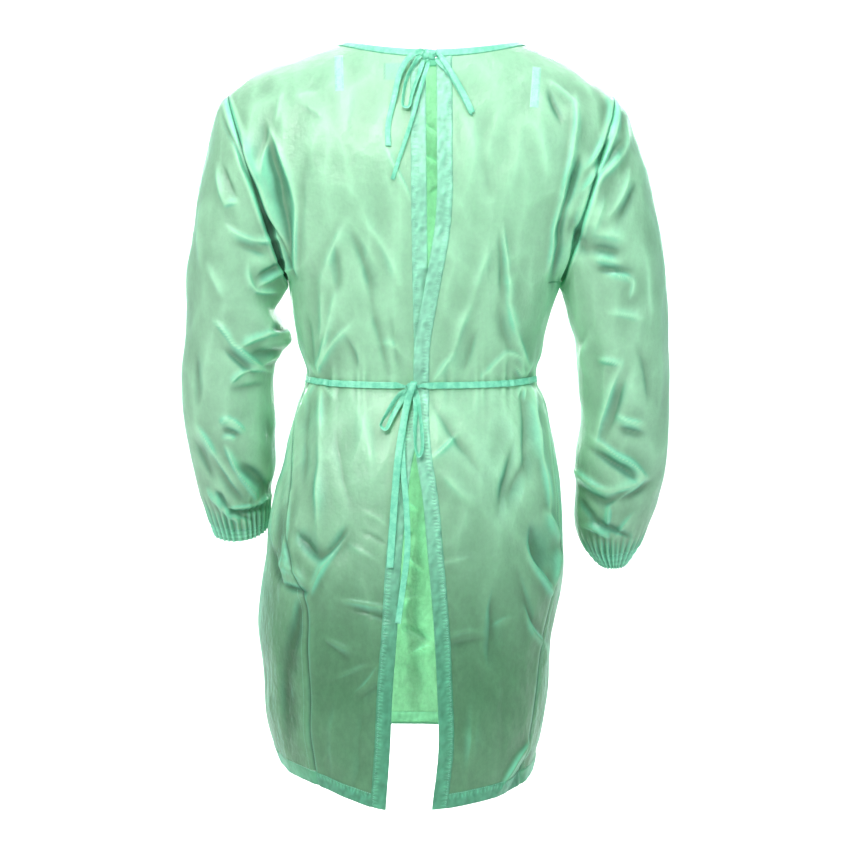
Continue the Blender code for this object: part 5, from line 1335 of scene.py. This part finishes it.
def make_sleeves(sleeves, heights, normals, paint):
    lines = []
    for side, grid in sleeves.items():
        name = f"sleeve_{SIDES[side]}"
        flip = not faces_in(grid, normals[side])
        mesh = grid_mesh(f"{name}_cloth", grid, closed=True, looks=heights[side], flip=flip)
        link(f"{name}_cloth", mesh, paint["cloth"], [name])
        table = LEFT_CUFF if side == LEFT else RIGHT_CUFF
        points, _ = sleeve_rings(table, side, CUFF_CELLS, SLEEVE_COLUMNS)
        out = normals_of(points, closed=True)
        share = np.linspace(0, 1, CUFF_CELLS + 1)[:, None]
        waves = gather_waves(side, CUFF_CELLS + 1, SLEEVE_COLUMNS, 1, 1) * (GATHER_RISE - 0.0010 * share)
        ruched = waves + 0.0006 * noise_at(points, 0.012, 2.0) - 0.0010 * np.sin(share * math.pi * 3) ** 2
        points = points + out * ruched[..., None]
        points += (grid[-1] - points[0]) * ((1 - share) ** 2)[..., None]
        name = f"cuff_{SIDES[side]}"
        # Painted shade and highlight on the cuff's gathers; the cuff is a double layer.
        looks = looks_of(ruched, points, np.ones_like(ruched) * 0.5)
        mesh = grid_mesh(f"{name}_cloth", points, closed=True, looks=looks, flip=not faces_in(points, out))
        link(f"{name}_cloth", mesh, paint["band"], [name])
        directions = normals_of(points, closed=True)
        for row in (3, CUFF_CELLS - 4):
            lines.append((points[row] + directions[row] * 2e-4, directions[row], 0.0))
    return lines


def make_bands(body, normals, front, front_normals, paint):
    """Turned edges down both back edges and along the hem, and the lines of sewing on them."""
    zigzags, lines = [], []
    first = FINE - 1
    for side in (LEFT, RIGHT):
        grid, direction = body[side, BACK], normals[side, BACK]
        span = slice(0, BAND_CELLS + 1)
        _, top = strip(
            f"back_edge_band_{SIDES[side]}_cloth", grid[first:, span], direction[first:, span],
            paint["band"],
            [f"back_edge_band_{SIDES[side]}"],
        )
        zigzags.append((top[:, -2] * 0.6 + top[:, -3] * 0.4, direction[first:, 0], 0.0020))
        rows = slice(len(grid) - 1, len(grid) - 1 - HEM_ROWS, -1)
        hem = grid[rows, BAND_CELLS:].swapaxes(0, 1)
        out = direction[rows, BAND_CELLS:].swapaxes(0, 1)
        _, top = strip(
            f"hem_band_back_{SIDES[side]}_cloth", hem, out, paint["band"],
            [f"hem_band_back_{SIDES[side]}"],
        )
        lines.append((top[:, -1] * 0.8 + top[:, -2] * 0.2, out[:, 0], 0.0))
    rows = slice(len(front) - 1, len(front) - 1 - HEM_ROWS, -1)
    hem, out = front[rows].swapaxes(0, 1), front_normals[rows].swapaxes(0, 1)
    _, top = strip("hem_band_front_cloth", hem, out, paint["front_hem"], ["hem_band_front"])
    lines.append((top[:, -1] * 0.8 + top[:, -2] * 0.2, out[:, 0], 0.0))
    return zigzags, lines


def make_binding(body, normals, samples, paint):
    """A tape folded over the raw neck edge, from the knot and one back edge round the front to the other."""
    order = [((LEFT, BACK), 1), ((LEFT, FRONT), -1), ((RIGHT, FRONT), 1), ((RIGHT, BACK), -1)]
    reach = round(FINE * BINDING_REACH)
    rows, out = [], []
    for number, (key, way) in enumerate(order):
        skip = 1 if number else 0
        rows.append(body[key][: reach + 1, ::way][:, skip:])
        out.append(normals[key][: reach + 1, ::way][:, skip:])
    rows, out = np.concatenate(rows, axis=1), np.concatenate(out, axis=1)
    up = unit(rows[0] - rows[1])
    puff = 0.0011 + 0.0002 * noise_at(rows[0], 0.009, 4.0)[:, None]
    profile = [rows[reach] + out[reach] * 0.0001]
    profile += [rows[r] + out[r] * puff for r in range(reach, -1, -2)]
    profile += [rows[0] + up * 0.0011, rows[0] - out[0] * puff]
    profile += [rows[r] - out[r] * puff for r in range(2, reach + 1, 2)]
    profile += [rows[reach] - out[reach] * 0.0001]
    rings = np.stack(profile, axis=1)
    centre = knot_place(NECK_KNOT, samples)
    parts = [rings]
    for end, first in ((0, True), (-1, False)):
        ring = rings[end]
        middle = ring.mean(axis=0)
        shares = (0.95, 0.66, 0.33) if first else (0.33, 0.66, 0.95)
        joined = [(ring - middle) * (1 - 0.55 * t) + middle * (1 - t) + centre * t for t in shares]
        parts.insert(0 if first else len(parts), np.stack(joined))
    tube("neck_binding_cloth", np.concatenate(parts), paint["tie"], ["neck_binding"])
    line = rows[reach - 1] + out[reach - 1] * (puff + 1e-4)
    return [(line, out[reach - 1], 0.0)]


def make_waist_ties(body, normals, samples, paint):
    """The ties run from the side seams along the waist to the knot, over the back edge bands."""
    centre = knot_place(WAIST_KNOT, samples)
    wide, _, _ = WAIST_KNOT["size"]
    row = YOKE_ROWS * FINE + round((WAIST_DROP - UNDERARM_DROP) / (HEM_DROP - UNDERARM_DROP) * SKIRT_CELLS)
    for side, first in ((LEFT, 22), (RIGHT, 4)):
        grid, direction = body[side, BACK][row - 1 : row + 2].mean(axis=0), normals[side, BACK][row]
        keep = np.arange(first, len(grid) - 2, 3)
        lift = np.where(np.arange(len(keep)) < 3, 0.0034 if side == RIGHT else 0.0024, 0.0022)
        path = grid[keep] + direction[keep] * lift[:, None]
        facing = direction[keep]
        start = centre + np.array([side * wide, 0.0, 0.0])
        path = np.concatenate([start[None], path])
        facing = np.concatenate([[[0.0, -1.0, 0.0]], facing])
        fine = np.linspace(0, len(path) - 1, 160)
        line = {"row": np.arange(len(path), dtype=float)}
        line |= {name: path[:, k] for k, name in enumerate("xyz")}
        line |= {f"n{name}": facing[:, k] for k, name in enumerate("xyz")}
        path = np.stack([smooth(line, name, "row", fine) for name in "xyz"], axis=1)
        facing = unit(np.stack([smooth(line, f"n{name}", "row", fine) for name in "xyz"], axis=1))
        for point in path[:110]:
            place, _ = cloth_at(samples, point[0], -point[2])
            point[1] = min(point[1], place[1] - CLEAR)
        along = unit(np.gradient(path, axis=0))
        across = unit(np.cross(along, facing))
        out = unit(np.cross(across, along))
        reach = np.linalg.norm(path - path[0], axis=1)
        width = 0.0088 * (0.45 + 0.55 * step(0.002, 0.020, reach))
        rings = rounded_strip(path, across, out, width, TAPE_THICK, 0.0004)
        name = f"waist_tie_{SIDES[side]}"
        tube(f"{name}_cloth", rings, paint["tie"], [name])


def patch_on_back(samples, start, end, width, rows, columns):
    """A small rectangular grid on the back cloth, from one place down to another."""
    start, end = np.array(start), np.array(end)
    along = (end - start) / np.linalg.norm(end - start)
    aside = np.array([along[1], -along[0]])
    points, normals = np.zeros((rows, columns, 3)), np.zeros((rows, columns, 3))
    for i, t in enumerate(np.linspace(0, 1, rows)):
        for j, s in enumerate(np.linspace(-width / 2, width / 2, columns)):
            x, drop = start + (end - start) * t + aside * s
            distance = np.hypot(samples[0][:, 0] - x, samples[0][:, 2] + drop)
            near = np.argsort(distance)[:6]
            weight = 1 / (distance[near] + 1e-4) ** 2
            weight = (weight / weight.sum())[:, None]
            points[i, j] = (samples[0][near] * weight).sum(axis=0)
            points[i, j, 0], points[i, j, 2] = x, -drop
            normals[i, j] = unit((samples[1][near] * weight).sum(axis=0))
    return points, normals


def make_small_pieces(samples, paint):
    """The two short shoulder tapes outside, and the blank care label inside the neck."""
    lines = []
    for side, (start, end) in SHOULDER_TAPES.items():
        points, out = patch_on_back(samples, start, end, 0.0118, 24, 7)
        lift = np.full(points.shape[:2], 0.0010)
        lift[[0, -1]] = 0.0001
        lift[:, [0, -1]] = 0.0001
        top = points + out * lift[..., None]
        name = f"shoulder_tape_{side}"
        mesh = grid_mesh(f"{name}_cloth", top, flip=not faces_in(top, out))
        link(f"{name}_cloth", mesh, paint["shoulder"], [name])
        for column in (1, -2):
            lines.append((top[1:-1, column] + out[1:-1, column] * 1e-4, out[1:-1, column], 0.0))
    bottom = (LABEL_TOP[0] - 0.002, LABEL_TOP[1] + LABEL_SIZE[1])
    points, out = patch_on_back(samples, LABEL_TOP, bottom, LABEL_SIZE[0], 14, 18)
    points = points - out * 0.0022
    mesh = grid_mesh("neck_label_cloth", points, flip=not faces_in(points, -out))
    link("neck_label_cloth", mesh, paint["label"], ["neck_label"])
    return lines


def make_bows(samples, paint):
    make_knot("neck_knot", NECK_KNOT, samples, paint["tie"], ((0.9, 1.02, 0.0066), (-0.5, 1.10, 0.0060)))
    make_knot("waist_knot", WAIST_KNOT, samples, paint["tie"], ((-0.75, 1.0, 0.0070), (0.55, 1.08, 0.0085)))
    for name, tape, knot, width, pinch in (
        ("neck_loop_left", NECK_LOOP_LEFT, NECK_KNOT, 0.0065, 0.45),
        ("neck_loop_right", NECK_LOOP_RIGHT, NECK_KNOT, 0.008, 0.45),
        ("neck_tail_outer", NECK_TAIL_OUTER, NECK_KNOT, 0.0075, 0.55),
        ("neck_tail_inner", NECK_TAIL_INNER, NECK_KNOT, 0.0055, 0.55),
        ("waist_loop_left", WAIST_LOOP_LEFT, WAIST_KNOT, 0.007, 0.45),
        ("waist_loop_right", WAIST_LOOP_RIGHT, WAIST_KNOT, 0.007, 0.45),
        ("waist_tail_outer", WAIST_TAIL_OUTER, WAIST_KNOT, 0.0095, 0.92),
        ("waist_tail_inner", WAIST_TAIL_INNER, WAIST_KNOT, 0.008, 0.45),
    ):
        make_tape(name, tape, knot, samples, width, paint["tie"], pinch)


def seam_lines(body, normals):
    """Sewing beside the shoulder, armhole and side seams."""
    lines = []
    beside = -3
    for (side, face), grid in body.items():
        direction = normals[side, face]
        column = grid[FINE:, beside] + direction[FINE:, beside] * 1e-4
        lines.append((column, direction[FINE:, beside], 0.0))
    return lines


def area_light(name, place, target, size, power, colour=(1.0, 1.0, 1.0)):
    light = bpy.data.lights.new(name, "AREA")
    light.shape = "RECTANGLE"
    light.size, light.size_y = size
    light.energy = power
    light.color = colour
    obj = bpy.data.objects.new(name, light)
    bpy.context.scene.collection.objects.link(obj)
    obj.location = place
    obj.rotation_euler = (Vector(target) - Vector(place)).to_track_quat("-Z", "Y").to_euler()


def make_stage():
    """A pale floor that curves up behind the gown, soft lights, and the camera."""
    floor_z, back_y, curve, half, front_y, top = -1.45, 5.0, 2.2, 8.0, -6.0, 4.5
    turn = np.linspace(0, math.pi / 2, 17)
    profile = [(front_y, floor_z)]
    profile += [(back_y - curve + curve * math.sin(t), floor_z + curve - curve * math.cos(t)) for t in turn]
    profile += [(back_y, top)]
    grid = np.array([[(x, y, z) for x in (-half, half)] for y, z in profile])
    mesh = grid_mesh("studio_floor", grid)
    material = bpy.data.materials.new("studio_paper")
    material.use_nodes = True
    shader = material.node_tree.nodes["Principled BSDF"]
    shader.inputs["Base Color"].default_value = (0.93, 0.94, 0.935, 1.0)
    shader.inputs["Roughness"].default_value = 0.85
    mesh.materials.append(material)
    mesh.shade_smooth()
    floor = bpy.data.objects.new("studio_floor", mesh)
    bpy.context.scene.collection.objects.link(floor)
    area_light("key_left", (-1.6, -2.5, 1.5), (0, 0, -0.32), (0.5, 0.7), 52)
    area_light("key_right", (1.9, -2.0, 0.7), (0, 0, -0.35), (0.4, 0.9), 16, (0.55, 1.0, 0.90))
    area_light("top", (0.1, -0.8, 1.6), (0.05, 0, -0.25), (1.2, 0.8), 25)
    area_light("shoulder_right", (-0.25, -1.5, 0.8), (0.14, 0, -0.08), (0.3, 0.3), 13, (1.0, 1.0, 0.88))
    area_light("through_left", (-0.8, 2.5, 0.2), (0, 0, -0.7), (0.8, 1.6), 46)
    area_light("through_right", (0.8, 2.5, 0.2), (0, 0, -0.7), (0.8, 1.6), 46)
    area_light("backdrop", (0, 2.8, 3.2), (0, 5.0, -0.9), (5.0, 0.8), 260)
    world = bpy.data.worlds.new("studio")
    world.use_nodes = True
    backdrop = world.node_tree.nodes["Background"]
    backdrop.inputs["Color"].default_value = (0.95, 1.0, 0.98, 1.0)
    backdrop.inputs["Strength"].default_value = 0.32
    bpy.context.scene.world = world
    bpy.context.scene.view_settings.view_transform = "Standard"
    lens = bpy.data.cameras.new("camera")
    lens.lens = 83.18
    camera = bpy.data.objects.new("camera", lens)
    bpy.context.scene.collection.objects.link(camera)
    camera.location = (0, -2.75, -0.25)
    camera.rotation_euler = (Vector((0, 0, -0.53)) - camera.location).to_track_quat("-Z", "Y").to_euler()
    bpy.context.scene.camera = camera


def state_cloth():
    """Groups the bands, tapes and sewing under the panel that carries them, skipping the cut pieces in
    SHEETS; the grouping is not kept.
    """
    pieces = {obj.name: obj for obj in bpy.data.objects if obj.name.endswith(("_cloth", "_1", "_2"))}
    carried = {"back_panel_left_cloth": [], "back_panel_right_cloth": [], "front_panel_cloth": []}
    for name, obj in pieces.items():
        if name in SHEETS:
            continue
        place = "right" if "right" in name else "left"
        carried["front_panel_cloth" if "front" in name else f"back_panel_{place}_cloth"].append(obj)
    carried["front_panel_cloth"].append(bpy.data.objects["sewing"])
    carried["back_panel_left_cloth"].append(bpy.data.objects["zigzag_sewing"])


def main():
    paint = make_materials()
    plain = {(side, face): quarter(side, face) for side in (LEFT, RIGHT) for face in (BACK, FRONT)}
    tubes = {}
    for side, table in ((LEFT, LEFT_SLEEVE), (RIGHT, RIGHT_SLEEVE)):
        tubes[side], _ = sleeve_rings(table, side, SLEEVE_CELLS, SLEEVE_COLUMNS)
    directions = all_normals(plain, tubes)
    body, body_heights = fold_body(plain, directions)
    sleeves, sleeve_heights = fold_sleeves(tubes, directions)
    normals = all_normals(body, sleeves)
    front, front_normals = make_panels(body, body_heights, normals, paint)
    lines = make_sleeves(sleeves, sleeve_heights, normals, paint)
    zigzags, hem_lines = make_bands(body, normals, front, front_normals, paint)
    lines += hem_lines
    backs = [(side, BACK) for side in (LEFT, RIGHT)]
    samples = tuple(np.concatenate([grid[key].reshape(-1, 3) for key in backs]) for grid in (body, normals))
    lines += make_binding(body, normals, samples, paint)
    make_waist_ties(body, normals, samples, paint)
    lines += make_small_pieces(samples, paint)
    lines += seam_lines(body, normals)
    make_bows(samples, paint)
    stitched("sewing", lines, paint["thread"])
    stitched("zigzag_sewing", zigzags, paint["zigzag"])
    state_cloth()
    make_stage()


main()
